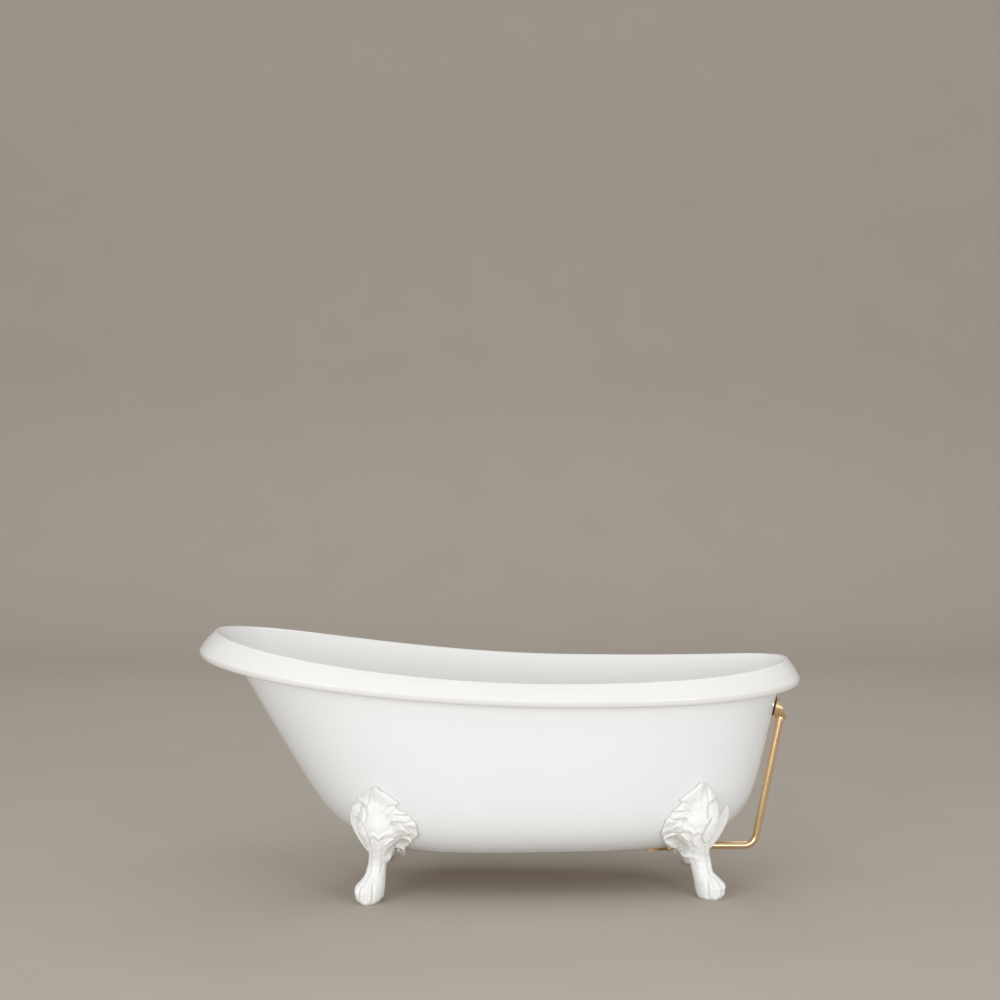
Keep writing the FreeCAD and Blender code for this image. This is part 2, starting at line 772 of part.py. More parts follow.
def turned(label, outline, placement):
    """A turned piece: its half section, as (radius, height) expressions, spun round Z."""
    body = document.addObject("PartDesign::Body", label)
    sketch = body.newObject("Sketcher::SketchObject", label + "_section")
    sketch.AttachmentSupport = (origin_plane(body, "XZ_Plane"), "")
    sketch.MapMode = "FlatFace"
    count = len(outline)
    rough = [Vector(10 + 3 * math.cos(i), 10 + 3 * math.sin(i), 0) for i in range(count)]
    for i in range(count):
        sketch.addGeometry(Part.LineSegment(rough[i], rough[(i + 1) % count]), False)
    for i in range(count):
        sketch.addConstraint(Sketcher.Constraint("Coincident", i, 2, (i + 1) % count, 1))
    for i, (radius, height) in enumerate(outline):
        for kind, axis, size, start in (
            ("DistanceX", -2, radius, rough[i].x), ("DistanceY", -1, height, rough[i].y)
        ):
            if size == "0":
                sketch.addConstraint(Sketcher.Constraint("PointOnObject", i, 1, axis))
            else:
                index = sketch.addConstraint(Sketcher.Constraint(kind, -1, 1, i, 1, start))
                sketch.setExpression("Constraints[%d]" % index, named(size))
    spin = body.newObject("PartDesign::Revolution", label + "_turning")
    spin.Profile = sketch
    spin.ReferenceAxis = (sketch, ["V_Axis"])
    spin.Angle = 360
    body.setExpression("Placement", placement)
    document.recompute()
    return body


def named(expression):
    """An expression in which every word is the name of a size in the sheet."""
    words = expression.split(" ")
    return " ".join("Sizes." + word if word[0].isalpha() else word for word in words)


def drill_ring(body, hole_radius, circle_radius, count):
    """A ring of holes through a turned piece, parallel to its axis."""
    sketch = body.newObject("Sketcher::SketchObject", body.Name + "_hole_sketch")
    sketch.AttachmentSupport = (origin_plane(body, "XY_Plane"), "")
    sketch.MapMode = "FlatFace"
    sketch.addGeometry(Part.Circle(Vector(10, 0, 0), Vector(0, 0, 1), 2), False)
    sketch.addConstraint(Sketcher.Constraint("PointOnObject", 0, 3, -1))
    middle = sketch.addConstraint(Sketcher.Constraint("DistanceX", -1, 1, 0, 3, 10))
    sketch.setExpression("Constraints[%d]" % middle, named(circle_radius))
    size = sketch.addConstraint(Sketcher.Constraint("Radius", 0, 2))
    sketch.setExpression("Constraints[%d]" % size, named(hole_radius))
    pocket = body.newObject("PartDesign::Pocket", body.Name + "_hole")
    pocket.Profile = sketch
    pocket.Type = "ThroughAll"
    pocket.Midplane = True
    document.recompute()
    pattern = body.newObject("PartDesign::PolarPattern", body.Name + "_holes")
    pattern.Originals = [pocket]
    pattern.Axis = (sketch, ["N_Axis"])
    pattern.Angle = 360
    pattern.Occurrences = count
    body.Tip = pattern
    document.recompute()
    return body


def ring_piece(label, inner, outer, thickness, placement):
    """A flat ring, such as a gasket or a collar."""
    corners = [(inner, "0"), (outer, "0"), (outer, thickness), (inner, thickness)]
    return turned(label, corners, placement)


STRAINER_HOLES = 5
ROSETTE_HOLES = 4


def build_waste():
    """The waste: strainer flange, its screw and gaskets, and the body under the floor."""
    dish = "tail_length + waste_gasket + waste_flange_thickness - strainer_depth"
    dish_under = dish + " - strainer_plate"
    flange_under = "tail_length + waste_gasket"
    flange_top = flange_under + " + waste_flange_thickness"
    flange = turned("waste_flange", [
        ("screw_radius + fit_gap", dish_under),
        ("strainer_radius - strainer_plate", dish_under),
        ("strainer_radius - strainer_plate", "0"),
        ("strainer_radius", "0"),
        ("strainer_radius", flange_under),
        ("waste_flange_radius", flange_under),
        ("waste_flange_radius", flange_under + " + 1"),
        ("waste_flange_radius - 3", flange_top),
        ("strainer_radius", flange_top),
        ("strainer_radius - 2", dish),
        ("screw_radius + fit_gap", dish),
    ], at_waste("Sizes.floor_level - Sizes.tail_length"))
    drill_ring(flange, "strainer_hole_radius", "strainer_hole_circle", STRAINER_HOLES)
    ring_piece("waste_top_gasket", "tail_radius", "waste_flange_radius - 1", "waste_gasket",
               at_waste("Sizes.floor_level"))
    turned("strainer_screw", [
        ("0", "0"),
        ("screw_radius", "0"),
        ("screw_radius", "waste_screw_length"),
        ("screw_head_radius", "waste_screw_length"),
        ("screw_head_radius", "waste_screw_length + screw_head_height / 2"),
        ("screw_head_radius - 2", "waste_screw_length + screw_head_height"),
        ("0", "waste_screw_length + screw_head_height"),
    ], at_waste(
        "Sizes.floor_level + Sizes.waste_gasket + Sizes.waste_flange_thickness"
        " - Sizes.strainer_depth - Sizes.waste_screw_length"
    ))
    ring_piece("waste_body_gasket", "tail_radius", "body_flange_radius", "body_gasket",
               at_waste("Sizes.base_level - Sizes.body_gasket"))
    solid_feature("waste_body", waste_body())


def waste_body():
    """The cast body: flange, cup, screw boss on three ribs, side socket and outlet."""
    top = d.base_level - d.body_gasket
    depth = top - d.body_bottom_level
    base = on_waste(d.body_bottom_level)
    sideways = Vector(1, 0, 0)
    away = Vector(0, 1, 0)
    pipe_point = on_waste(d.pipe_level)
    socket_length = d.body_radius + d.socket_length
    outlet_point = on_waste(d.outlet_level)
    neck_end = d.body_radius + d.outlet_neck
    outlet_end = d.body_radius + d.outlet_length
    cup = cylinder(d.body_radius, depth, base)
    cup = cup.fuse(cylinder(d.body_flange_radius, d.body_flange, on_waste(top - d.body_flange)))
    cup = cup.fuse(cylinder(d.socket_radius, socket_length, pipe_point, sideways))
    cup = cup.fuse(cylinder(d.outlet_neck_radius, neck_end, outlet_point, away))
    cup = cup.fuse(cylinder(d.outlet_radius, outlet_end - neck_end, outlet_point + away * neck_end, away))
    hollow = cylinder(d.body_radius - d.body_wall, depth - d.body_wall,
                      on_waste(d.body_bottom_level + d.body_wall))
    pipe_bore = cylinder(d.pipe_radius + d.pipe_wall / 10, socket_length, pipe_point, sideways)
    shoulder = cylinder(d.pipe_radius - d.pipe_wall, socket_length, pipe_point, sideways)
    sump_wall = away * (d.outlet_neck_radius - d.outlet_bore_radius)
    outlet_bore = cylinder(d.outlet_bore_radius, outlet_end, outlet_point + sump_wall, away)
    inner_end = Part.makeBox(d.body_radius + 2, 2 * d.body_radius, 2 * d.body_radius,
                             pipe_point - Vector(0, d.body_radius, d.body_radius))
    cup = cup.cut(hollow).cut(outlet_bore).cut(shoulder).cut(pipe_bore.cut(inner_end))
    tail_room = cylinder(d.strainer_radius + d.fit_gap, d.tail_length, on_waste(top - 1))
    tip = floor_level + d.waste_gasket + d.waste_flange_thickness - d.strainer_depth
    tip -= d.waste_screw_length
    boss_base = max(tip - 2, d.body_bottom_level + d.body_wall)
    boss = cylinder(d.boss_radius, top - d.tail_length * 0.2 - boss_base, on_waste(boss_base))
    rib_length = d.body_radius - d.body_wall / 2
    for turn in (60, 180, 300):
        rib = Part.makeBox(rib_length, 3, 8, Vector(0, -1.5, 0))
        rib.rotate(Vector(0, 0, 0), Vector(0, 0, 1), turn)
        rib.translate(on_waste(boss_base + 2))
        boss = boss.fuse(rib)
    cup = cup.fuse(boss).cut(tail_room)
    return cup.cut(cylinder(d.screw_radius, d.waste_screw_length, on_waste(tip)))


# ---------------------------------------------------------------- overflow and pipe


def pipe_corner():
    """Where the leaning and the level runs of the pipe's centre line would meet."""
    lean = math.radians(d.pipe_lean)
    drop = pipe_top.z - d.pipe_level
    return Vector(pipe_top.x - drop * math.tan(lean), 0, d.pipe_level)


pipe_up = Vector(math.sin(math.radians(d.pipe_lean)), 0, math.cos(math.radians(d.pipe_lean)))


def overflow_pipe():
    """The bent pipe from the elbow down behind the tap feet and level to the waste."""
    corner = pipe_corner()
    tangent = d.pipe_bend_radius * math.tan(math.radians(90 - d.pipe_lean) / 2)
    level_end = Vector(waste_x + d.body_radius + 2.5, 0, d.pipe_level)
    bend_start = corner + pipe_up * tangent
    bend_end = corner - Vector(tangent, 0, 0)
    toward = (bend_start - corner).normalize() + (bend_end - corner).normalize()
    reach = d.pipe_bend_radius / math.sin(math.radians(90 + d.pipe_lean) / 2)
    middle = corner + toward.normalize() * (reach - d.pipe_bend_radius)
    path = Part.Wire([
        Part.LineSegment(pipe_top, bend_start).toShape(),
        Part.Arc(bend_start, middle, bend_end).toShape(),
        Part.LineSegment(bend_end, level_end).toShape(),
    ])
    walls = []
    for radius in (d.pipe_radius, d.pipe_radius - d.pipe_wall):
        section = Part.Wire(Part.makeCircle(radius, pipe_top, pipe_up))
        walls.append(path.makePipeShell([section], True, False))
    return walls[0].cut(walls[1])


def overflow_elbow():
    """The mitred cup outside the wall, with a screw boss, over the top of the pipe."""
    back = on_overflow(elbow_start)
    up = Vector(-overflow_axis.z, 0, overflow_axis.x)

    def wedge(radius, inset):
        """A round block cut slanting from its top at the wall to its bottom outside."""
        block = cylinder(radius, d.elbow_depth - inset, back, overflow_axis)
        top = back + up * (d.elbow_radius - inset)
        outer = back + overflow_axis * (d.elbow_depth - inset)
        outer -= up * (d.elbow_radius - d.elbow_tip - 2 * inset)
        slant = (outer - top).normalize()
        square = Vector(-slant.z, 0, slant.x)
        if square.x < 0:
            square = square * -1
        keep_off = Part.makeBox(200, 200, 200, Vector(0, -100, -100))
        keep_off.Placement = Placement(top, Rotation(Vector(1, 0, 0), square))
        return block.cut(keep_off)

    elbow = wedge(d.elbow_radius, 0)
    hollow = wedge(d.elbow_radius - d.elbow_wall, d.elbow_wall)
    boss = cylinder(d.boss_radius, d.elbow_depth, back, overflow_axis)
    sleeve = cylinder(d.pipe_radius + 2, d.collar_height * 4, pipe_top - pipe_up * 12, pipe_up)
    elbow = elbow.cut(hollow.cut(boss).cut(sleeve))
    pipe_room = cylinder(d.pipe_radius + 0.1, 60, pipe_top - pipe_up * 60, pipe_up)
    water_way = cylinder(d.pipe_radius - d.pipe_wall, 18, pipe_top, pipe_up)
    elbow = elbow.cut(pipe_room).cut(water_way.cut(boss))
    screw_hole = cylinder(d.screw_radius, d.overflow_screw_length,
                          on_overflow(d.rosette_tail_length), overflow_axis)
    elbow = elbow.cut(screw_hole)
    return max(elbow.Solids, key=lambda solid: solid.Volume)


def elbow_foot_level():
    """How far below the pipe's top the elbow's underside crosses the pipe's axis."""
    back = on_overflow(elbow_start)
    up = Vector(-overflow_axis.z, 0, overflow_axis.x)
    under = back - up * d.elbow_radius
    return (pipe_top - under).dot(up) / pipe_up.dot(up)


def on_pipe(below_top):
    """A point on the leaning run of the pipe, down from its top end."""
    return pipe_top - pipe_up * below_top


def overflow_collar():
    """The pressed ring under the elbow, cut to sit against its round underside."""
    start = on_pipe(elbow_foot_level() + d.collar_height)
    outer = cylinder(d.collar_radius, d.collar_height * 3, start, pipe_up)
    ring = outer.cut(cylinder(d.pipe_radius + 0.1, d.collar_height * 3, start, pipe_up))
    elbow_block = cylinder(d.elbow_radius, d.elbow_depth, on_overflow(elbow_start), overflow_axis)
    pieces = ring.cut(elbow_block).Solids
    return min(pieces, key=lambda solid: solid.CenterOfMass.z)


def fitted_ring(outer, inner, start, length, walls):
    """A soft ring on the overflow's axis, shaped by the curved walls that it lies between."""
    ring = cylinder(outer, length, on_overflow(start), overflow_axis)
    ring = ring.cut(cylinder(inner, length, on_overflow(start), overflow_axis))
    for wall in walls:
        ring = ring.cut(wall)
    return max(ring.Solids, key=lambda solid: solid.Volume)


def build_overflow(shell, skin):
    """Rosette, its screw and gaskets, the packer between the walls, elbow and collar."""
    face = "rosette_gasket + rosette_thickness"
    turned_length = face + " + rosette_tail_length"
    rosette = turned("overflow_rosette", [
        ("rosette_socket_radius", "0"),
        ("rosette_radius - 2", "0"),
        ("rosette_radius", "rosette_thickness - 1"),
        ("rosette_radius", "rosette_thickness"),
        ("rosette_tail_radius", "rosette_thickness"),
        ("rosette_tail_radius", turned_length),
        ("screw_radius + fit_gap", turned_length),
        ("screw_radius + fit_gap", turned_length + " - rosette_floor"),
        ("rosette_socket_radius", turned_length + " - rosette_floor"),
    ], at_overflow("0 - Sizes.rosette_gasket - Sizes.rosette_thickness"))
    drill_ring(rosette, "rosette_hole_radius", "rosette_hole_circle", ROSETTE_HOLES)
    turned("overflow_screw", [
        ("0", "0"),
        ("screw_head_radius - 1", "0"),
        ("screw_head_radius", "1"),
        ("screw_head_radius", "screw_head_height"),
        ("screw_radius", "screw_head_height"),
        ("screw_radius", "overflow_screw_length"),
        ("0", "overflow_screw_length"),
    ], at_overflow(
        "Sizes.rosette_tail_length - Sizes.rosette_floor - Sizes.screw_head_height"
    ))
    inner = fitted_ring(d.rosette_radius - 1, d.rosette_tail_radius + d.fit_gap,
                        -d.rosette_gasket, d.rosette_gasket + 4, [shell])
    solid_feature("overflow_inner_gasket", inner)
    gap_start = d.shell_wall - 2
    packer = fitted_ring(d.packer_radius, d.wall_hole_radius, gap_start,
                         wall_span - gap_start, [shell, skin])
    solid_feature("overflow_packer", packer)
    outer = fitted_ring(d.elbow_radius - 1, d.rosette_tail_radius - 6, elbow_start - 6, 6, [skin])
    solid_feature("overflow_outer_gasket", outer)
    solid_feature("overflow_elbow", overflow_elbow())
    solid_feature("overflow_collar", overflow_collar())


def build_pipe_joint():
    """The nut and the olive that seal the level end of the pipe in the waste body."""
    mouth = waste_x + d.body_radius + d.socket_length
    sideways = Vector(1, 0, 0)
    bore = d.pipe_radius + 0.1
    start = Vector(mouth + d.fit_gap, 0, d.pipe_level)
    olive = cylinder(d.pipe_radius + 2, d.olive_length, start, sideways)
    olive = olive.cut(cylinder(bore, d.olive_length, start, sideways))
    solid_feature("pipe_olive", olive)
    nut = hexagon(d.nut_radius, d.nut_length, Vector(0, 0, 0))
    nut.rotate(Vector(0, 0, 0), Vector(0, 1, 0), 90)
    nut.translate(start)
    nut = nut.cut(cylinder(bore, d.nut_length, start, sideways))
    room = cylinder(d.pipe_radius + 2 + d.fit_gap, d.olive_length + d.fit_gap, start, sideways)
    solid_feature("pipe_nut", nut.cut(room))


# ---------------------------------------------------------------- plug and chain


def plug_face():
    """How far in from the wall the plug's cap begins."""
    return d.rosette_gasket + d.rosette_thickness + d.plug_gap + d.seal_flange


def build_plug():
    """The plug parked in the rosette: rubber seal, domed cap, and the eye for the chain."""
    turned("plug_seal", [
        ("0", "0"),
        ("seal_radius", "0"),
        ("seal_radius", "seal_flange"),
        ("seal_top_radius", "seal_flange"),
        ("seal_tip_radius", "seal_flange + seal_depth"),
        ("0", "seal_flange + seal_depth"),
    ], at_overflow(
        "0 - Sizes.rosette_gasket - Sizes.rosette_thickness - Sizes.plug_gap - Sizes.seal_flange"
    ))
    dome_rise = d.cap_height - d.cap_edge
    ball = (d.cap_radius ** 2 + dome_rise ** 2) / (2 * dome_rise)
    face = on_overflow(-plug_face())
    inward = overflow_axis * -1
    disc = cylinder(d.cap_radius, d.cap_height * 2, face, inward)
    dome = Part.makeSphere(ball, face + inward * (d.cap_height - ball))
    cap = disc.common(dome)
    eye_start = face + inward * (d.cap_height - 2)
    stem = cylinder(d.eye_wire, 2 + d.eye_wire, eye_start, inward)
    solid_feature("plug_cap", cap.fuse(stem))
    solid_feature("plug_eye", Part.makeTorus(d.eye_radius, d.eye_wire, plug_eye(), Vector(0, 1, 0)))


def plug_eye():
    """The middle of the ring that swings on the cap's stem."""
    return on_overflow(-plug_face() - d.cap_height - d.eye_wire * 2 - d.eye_radius)


def anchor_eye():
    """The middle of the ring that hangs off the rosette's lower rim, clear of the wall."""
    inward = d.rosette_gasket + d.rosette_thickness + d.eye_wire
    return on_overflow(-inward, -d.rosette_radius - d.eye_radius - d.eye_wire)


def chain_route():
    """The chain: down from the plug's eye, round on the sloping wall, and up to the anchor."""
    below_eye = Vector(0, 0, d.eye_radius + d.eye_wire + d.coupling_length + d.coupling_gap)
    plug_end = plug_eye() - below_eye
    anchor_end = anchor_eye() - below_eye
    bottom = d.overflow_level - d.chain_drop
    turn = d.chain_loop_radius
    half_side = turn * math.tan(math.radians(22.5))
    loop = ((-turn, turn - half_side), (-half_side, 0), (half_side, 0), (turn, turn - half_side))
    strand = ((0.935, 1.0), (0.87, 0.97), (0.76, 0.84), (0.6, 0.62), (0.4, 0.36), (0.2, 0.13))
    points = [plug_end]
    for down, aside in reversed(strand):
        level = plug_end.z + (bottom - plug_end.z) * down
        points.append(chain_point(level, -aside * turn, plug_end.x))
    points += [chain_point(bottom + up, aside, plug_end.x) for aside, up in loop]
    for down, aside in strand:
        level = anchor_end.z + (bottom - anchor_end.z) * down
        points.append(chain_point(level, aside * turn * 0.96, anchor_end.x))
    points.append(anchor_end)
    return points


def chain_point(level, aside, hang_x):
    """A point of the chain: on the sloping wall, or straight under its eye above that."""
    reach, lean = wall_reach(SHELL, 2, level)
    on_wall = reach - d.chain_rise / math.cos(math.radians(lean))
    return Vector(min(on_wall, hang_x), aside, level)


def rounded_path(points):
    """Straight runs joined by tangent arcs, each as large as its two runs allow."""
    edges, radii = [], []
    here = points[0]
    for before, corner, after in zip(points, points[1:], points[2:]):
        back, ahead = before - corner, after - corner
        run = min(back.Length, ahead.Length)
        turn = math.pi - back.getAngle(ahead)
        radius = 0.45 * run / math.tan(turn / 2)
        cut_back = 0.45 * run
        start = corner + back.normalize() * cut_back
        end = corner + ahead.normalize() * cut_back
        to_middle = (back + ahead).normalize()
        reach = math.hypot(radius, cut_back) - radius
        edges.append(Part.LineSegment(here, start).toShape())
        edges.append(Part.Arc(start, corner + to_middle * reach, end).toShape())
        radii.append(round(radius, 1))
        here = end
    edges.append(Part.LineSegment(here, points[-1]).toShape())
    return Part.Wire(edges), radii


def build_chain():
    """The ball chain as a plain tube, its two couplings and the ring that anchors it."""
    points = chain_route()
    path, radii = rounded_path(points)
    section = Part.Wire(Part.makeCircle(d.chain_radius, points[0], points[1] - points[0]))
    tube = path.makePipeShell([section], True, False)
    print("chain: %.0f mm long, bend radii %s" % (path.Length, radii))
    print("chain volume %.1f, section times length %.1f"
          % (tube.Volume, math.pi * d.chain_radius ** 2 * path.Length))
    print("chain route", [tuple(round(v, 1) for v in point) for point in points])
    solid_feature("ball_chain", tube)
    down = Vector(0, 0, -1)
    for label, eye in (("chain_coupling_plug", plug_eye()), ("chain_coupling_anchor", anchor_eye())):
        start = eye + down * (d.eye_radius + d.eye_wire)
        solid_feature(label, cylinder(d.coupling_radius, d.coupling_length, start, down))
    ring = Part.makeTorus(d.eye_radius, d.eye_wire, anchor_eye(), Vector(0, 1, 0))
    root = on_overflow(-d.rosette_gasket - d.rosette_thickness / 2, 2 - d.rosette_radius)
    arm = anchor_eye() + Vector(0, 0, d.eye_radius) - root
    lug = cylinder(d.eye_wire, arm.Length, root, arm)
    rosette_disc = cylinder(d.rosette_radius, d.rosette_thickness * 4, on_overflow(
        -d.rosette_gasket - d.rosette_thickness * 3), overflow_axis)
    solid_feature("chain_anchor", ring.fuse(lug.cut(rosette_disc)))


# ---------------------------------------------------------------- the whole bath

shell_shape = tub_inner_shell()
skin_shape = tub_outer_skin()
solid_feature("tub_inner_shell", shell_shape)
solid_feature("tub_outer_skin", skin_shape)
solid_feature("base_board", base_board())
castings, blocks = build_feet()
for foot_name in FEET:
    solid_feature("claw_foot_" + foot_name, castings[foot_name])
    solid_feature("foot_block_" + foot_name, blocks[foot_name])
solid_feature("foot_bolts", foot_bolts())
solid_feature("foot_washers", foot_washers())
solid_feature("foot_inserts", foot_inserts())
build_waste()
solid_feature("overflow_pipe", overflow_pipe())
build_pipe_joint()
build_overflow(shell_shape, skin_shape)
build_plug()
build_chain()
document.recompute()

os.makedirs("parts", exist_ok=True)
for item in document.Objects:
    if "Invalid" in item.State or "Error" in item.State:
        raise RuntimeError("%s is %s" % (item.Label, item.State))
pieces = [item for item in document.Objects if item.TypeId in ("Part::Feature", "PartDesign::Body")]
for item in pieces:
    if item.Shape.isNull() or not item.Shape.isValid():
        raise RuntimeError(item.Label + " has no valid shape")
for item in pieces:
    item.Shape.exportStep("parts/%s.step" % item.Label)
    box = item.Shape.optimalBoundingBox(False)
    print("%-26s solids %2d volume %10.1f box %s" % (
        item.Label, len(item.Shape.Solids), item.Shape.Volume,
        [round(v, 1) for v in (box.XMin, box.YMin, box.ZMin, box.XMax, box.YMax, box.ZMax)],
    ))
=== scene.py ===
# %% [markdown]
# # A slipper bath on claw feet
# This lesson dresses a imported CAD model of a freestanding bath: a white acrylic tub with a rolled
# rim, four carved feet, and plated fittings with a plug on a ball chain. Each piece is made in a
# cell of its own, and the cell before it says what the piece is on the real bath and why it is
# made that way. All lengths inside the functions are millimetres; Blender gets metres.

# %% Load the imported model
import math

import bmesh
import bpy
import numpy as np
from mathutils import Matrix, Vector
from mathutils.bvhtree import BVHTree


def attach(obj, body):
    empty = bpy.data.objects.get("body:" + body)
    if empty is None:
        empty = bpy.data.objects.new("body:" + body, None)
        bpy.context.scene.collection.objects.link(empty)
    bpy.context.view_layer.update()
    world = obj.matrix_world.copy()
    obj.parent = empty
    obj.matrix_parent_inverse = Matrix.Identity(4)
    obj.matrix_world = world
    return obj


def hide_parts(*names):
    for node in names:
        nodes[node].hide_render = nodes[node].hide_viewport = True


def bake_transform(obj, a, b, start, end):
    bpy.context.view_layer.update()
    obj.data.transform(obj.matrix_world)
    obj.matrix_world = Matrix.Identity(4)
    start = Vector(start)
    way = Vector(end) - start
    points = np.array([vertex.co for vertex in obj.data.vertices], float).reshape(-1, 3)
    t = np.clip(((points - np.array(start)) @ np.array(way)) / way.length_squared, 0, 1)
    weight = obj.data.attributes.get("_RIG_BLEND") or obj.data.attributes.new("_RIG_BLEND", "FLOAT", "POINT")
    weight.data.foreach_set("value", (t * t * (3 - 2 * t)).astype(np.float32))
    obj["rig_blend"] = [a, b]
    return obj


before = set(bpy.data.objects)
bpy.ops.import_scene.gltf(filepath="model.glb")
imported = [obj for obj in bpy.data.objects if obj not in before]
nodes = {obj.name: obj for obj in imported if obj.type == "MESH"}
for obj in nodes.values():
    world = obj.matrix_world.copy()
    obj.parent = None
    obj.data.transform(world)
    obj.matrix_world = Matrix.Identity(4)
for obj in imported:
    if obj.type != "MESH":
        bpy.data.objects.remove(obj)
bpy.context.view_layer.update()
ops = bpy.ops
MM = 0.001


# %% [markdown]
# ## Small helpers
# Operators act on whatever is selected, so everything is deselected before a new piece is begun.
# A colour is written as the hex value that a picture shows, and Blender wants linear light, so one
# function turns one into the other. The others add a shader node with its settings and links, give
# a piece one material, apply a modifier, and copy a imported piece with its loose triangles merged.

# %% Helpers
def deselect_all():
    for thing in bpy.context.selected_objects:
        thing.select_set(False)


def alone(piece):
    """Make a piece the only selected one, and the active one."""
    deselect_all()
    piece.select_set(True)
    bpy.context.view_layer.objects.active = piece


def linear(hex_colour):
    """sRGB hex to the linear RGBA that a shader socket takes."""
    values = [int(hex_colour[i:i + 2], 16) / 255 for i in (1, 3, 5)]
    return [v / 12.92 if v <= 0.04045 else ((v + 0.055) / 1.055) ** 2.4 for v in values] + [1.0]


def add_node(tree, kind, settings=None, **inputs):
    """Add a node; settings are its properties, inputs its values or the sockets linked in."""
    node = tree.nodes.new(kind)
    for name, value in (settings or {}).items():
        setattr(node, name, value)
    for name, value in inputs.items():
        socket = node.inputs[int(name[1:])] if name[0] == "_" else node.inputs[name.replace("_", " ")]
        if isinstance(value, bpy.types.NodeSocket):
            tree.links.new(value, socket)
        else:
            socket.default_value = value
    return node


def new_material(name):
    """An empty material: its node tree and its Principled shader."""
    material = bpy.data.materials.new(name)
    material.use_nodes = True
    tree = material.node_tree
    return material, tree, tree.nodes["Principled BSDF"]


def finish_with(piece, material):
    """Give every face of a piece one material."""
    piece.data.materials.clear()
    piece.data.materials.append(material)


def apply_modifier(piece, kind, **settings):
    """Add a modifier of this kind to a piece, set it up and apply it."""
    alone(piece)
    modifier = piece.modifiers.new(kind.lower(), kind)
    for name, value in settings.items():
        setattr(modifier, name, value)
    ops.object.modifier_apply(modifier=modifier.name)


def merged_copy(node):
    """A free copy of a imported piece, left selected, with its triangles merged into one surface."""
    piece = nodes[node].copy()
    piece.data = piece.data.copy()
    piece.parent = None
    bpy.context.collection.objects.link(piece)
    alone(piece)
    ops.object.mode_set(mode="EDIT")
    ops.mesh.select_all(action="SELECT")
    ops.mesh.remove_doubles(threshold=0.000002)
    ops.object.mode_set(mode="OBJECT")
    return piece


# %% [markdown]
# ## White acrylic
# The tub is a sheet of cast acrylic, vacuum formed and backed with glass fibre: a hard, glossy
# plastic with an index of refraction of 1.49. Up close its gloss wavers a little, like the skin of
# an orange, with waves a few centimetres long and a few hundredths of a millimetre high. The
# colour is a neutral white that is a shade deeper where the resin is thicker.

# %% Acrylic
def cast_acrylic(name, pale, deep, roughness):
    material, tree, shader = new_material(name)
    place = add_node(tree, "ShaderNodeTexCoord").outputs["Object"]
    clouds = add_node(tree, "ShaderNodeTexNoise", Vector=place, Scale=4.0, Detail=2.0)
    tint = add_node(tree, "ShaderNodeMix", {"data_type": "RGBA"}, _0=clouds.outputs["Fac"],
                    _6=linear(pale), _7=linear(deep))
    tree.links.new(tint.outputs[2], shader.inputs["Base Color"])
    waves = add_node(tree, "ShaderNodeTexNoise", Vector=place, Scale=28.0, Detail=1.0)
    skin = add_node(tree, "ShaderNodeBump", Height=waves.outputs["Fac"], Strength=0.035, Distance=0.002)
    tree.links.new(skin.outputs["Normal"], shader.inputs["Normal"])
    shader.inputs["Roughness"].default_value = roughness
    shader.inputs["IOR"].default_value = 1.49
    return material


inner_acrylic = cast_acrylic("cast_acrylic_inside", "#F1EFEB", "#EEECE8", 0.12)
outer_acrylic = cast_acrylic("cast_acrylic_outside", "#F3F4F4", "#F0F1F1", 0.1)
print("acrylic:", inner_acrylic.name, outer_acrylic.name)

# %% [markdown]
# ## Coated castings
# The feet are cast metal under a satin white enamel. The sand mould leaves a fine grain, about half
# a millimetre, that the coat only half fills, so the gloss is broken up. In the hollows an ambient
# occlusion node darkens the white base colour to a grey: painted shade in the hollows.

# %% Foot enamel
def sprayed_enamel():
    material, tree, shader = new_material("satin_enamel_on_casting")
    place = add_node(tree, "ShaderNodeTexCoord").outputs["Object"]
    # painted shade: ambient occlusion turns the base colour grey in hollows and creases
    painted_hollow_shade = add_node(tree, "ShaderNodeAmbientOcclusion", {"samples": 4}, Distance=0.012)
    ramp = add_node(tree, "ShaderNodeValToRGB", Fac=painted_hollow_shade.outputs["AO"])
    ramp.color_ramp.elements[0].position = 0.15
    ramp.color_ramp.elements[0].color = linear("#C9C6C1")
    ramp.color_ramp.elements[1].position = 0.75
    ramp.color_ramp.elements[1].color = linear("#F4F3F0")
    tree.links.new(ramp.outputs["Color"], shader.inputs["Base Color"])
    sand = add_node(tree, "ShaderNodeTexNoise", Vector=place, Scale=900.0, Detail=2.0)
    lumps = add_node(tree, "ShaderNodeTexNoise", Vector=place, Scale=90.0, Detail=1.0)
    both = add_node(tree, "ShaderNodeMath", {"operation": "MULTIPLY_ADD"}, _0=lumps.outputs["Fac"],
                    _1=2.0, _2=sand.outputs["Fac"])
    grain = add_node(tree, "ShaderNodeBump", Height=both.outputs[0], Strength=0.12, Distance=0.0006)
    tree.links.new(grain.outputs["Normal"], shader.inputs["Normal"])
    shader.inputs["Roughness"].default_value = 0.36
    shader.inputs["IOR"].default_value = 1.5
    return material


enamel = sprayed_enamel()
print("enamel:", enamel.name)

# %% [markdown]
# ## Plated fittings
# The waste, pipe, overflow, plug and chain are brass, polished and plated in pale rose gold. A
# plated mirror finish has almost no grain of its own: what shows is faint polishing haze, a change
# of roughness over a few centimetres. The hidden body of the waste has the same colour, but is as
# it came from the casting, so it is duller and pitted.

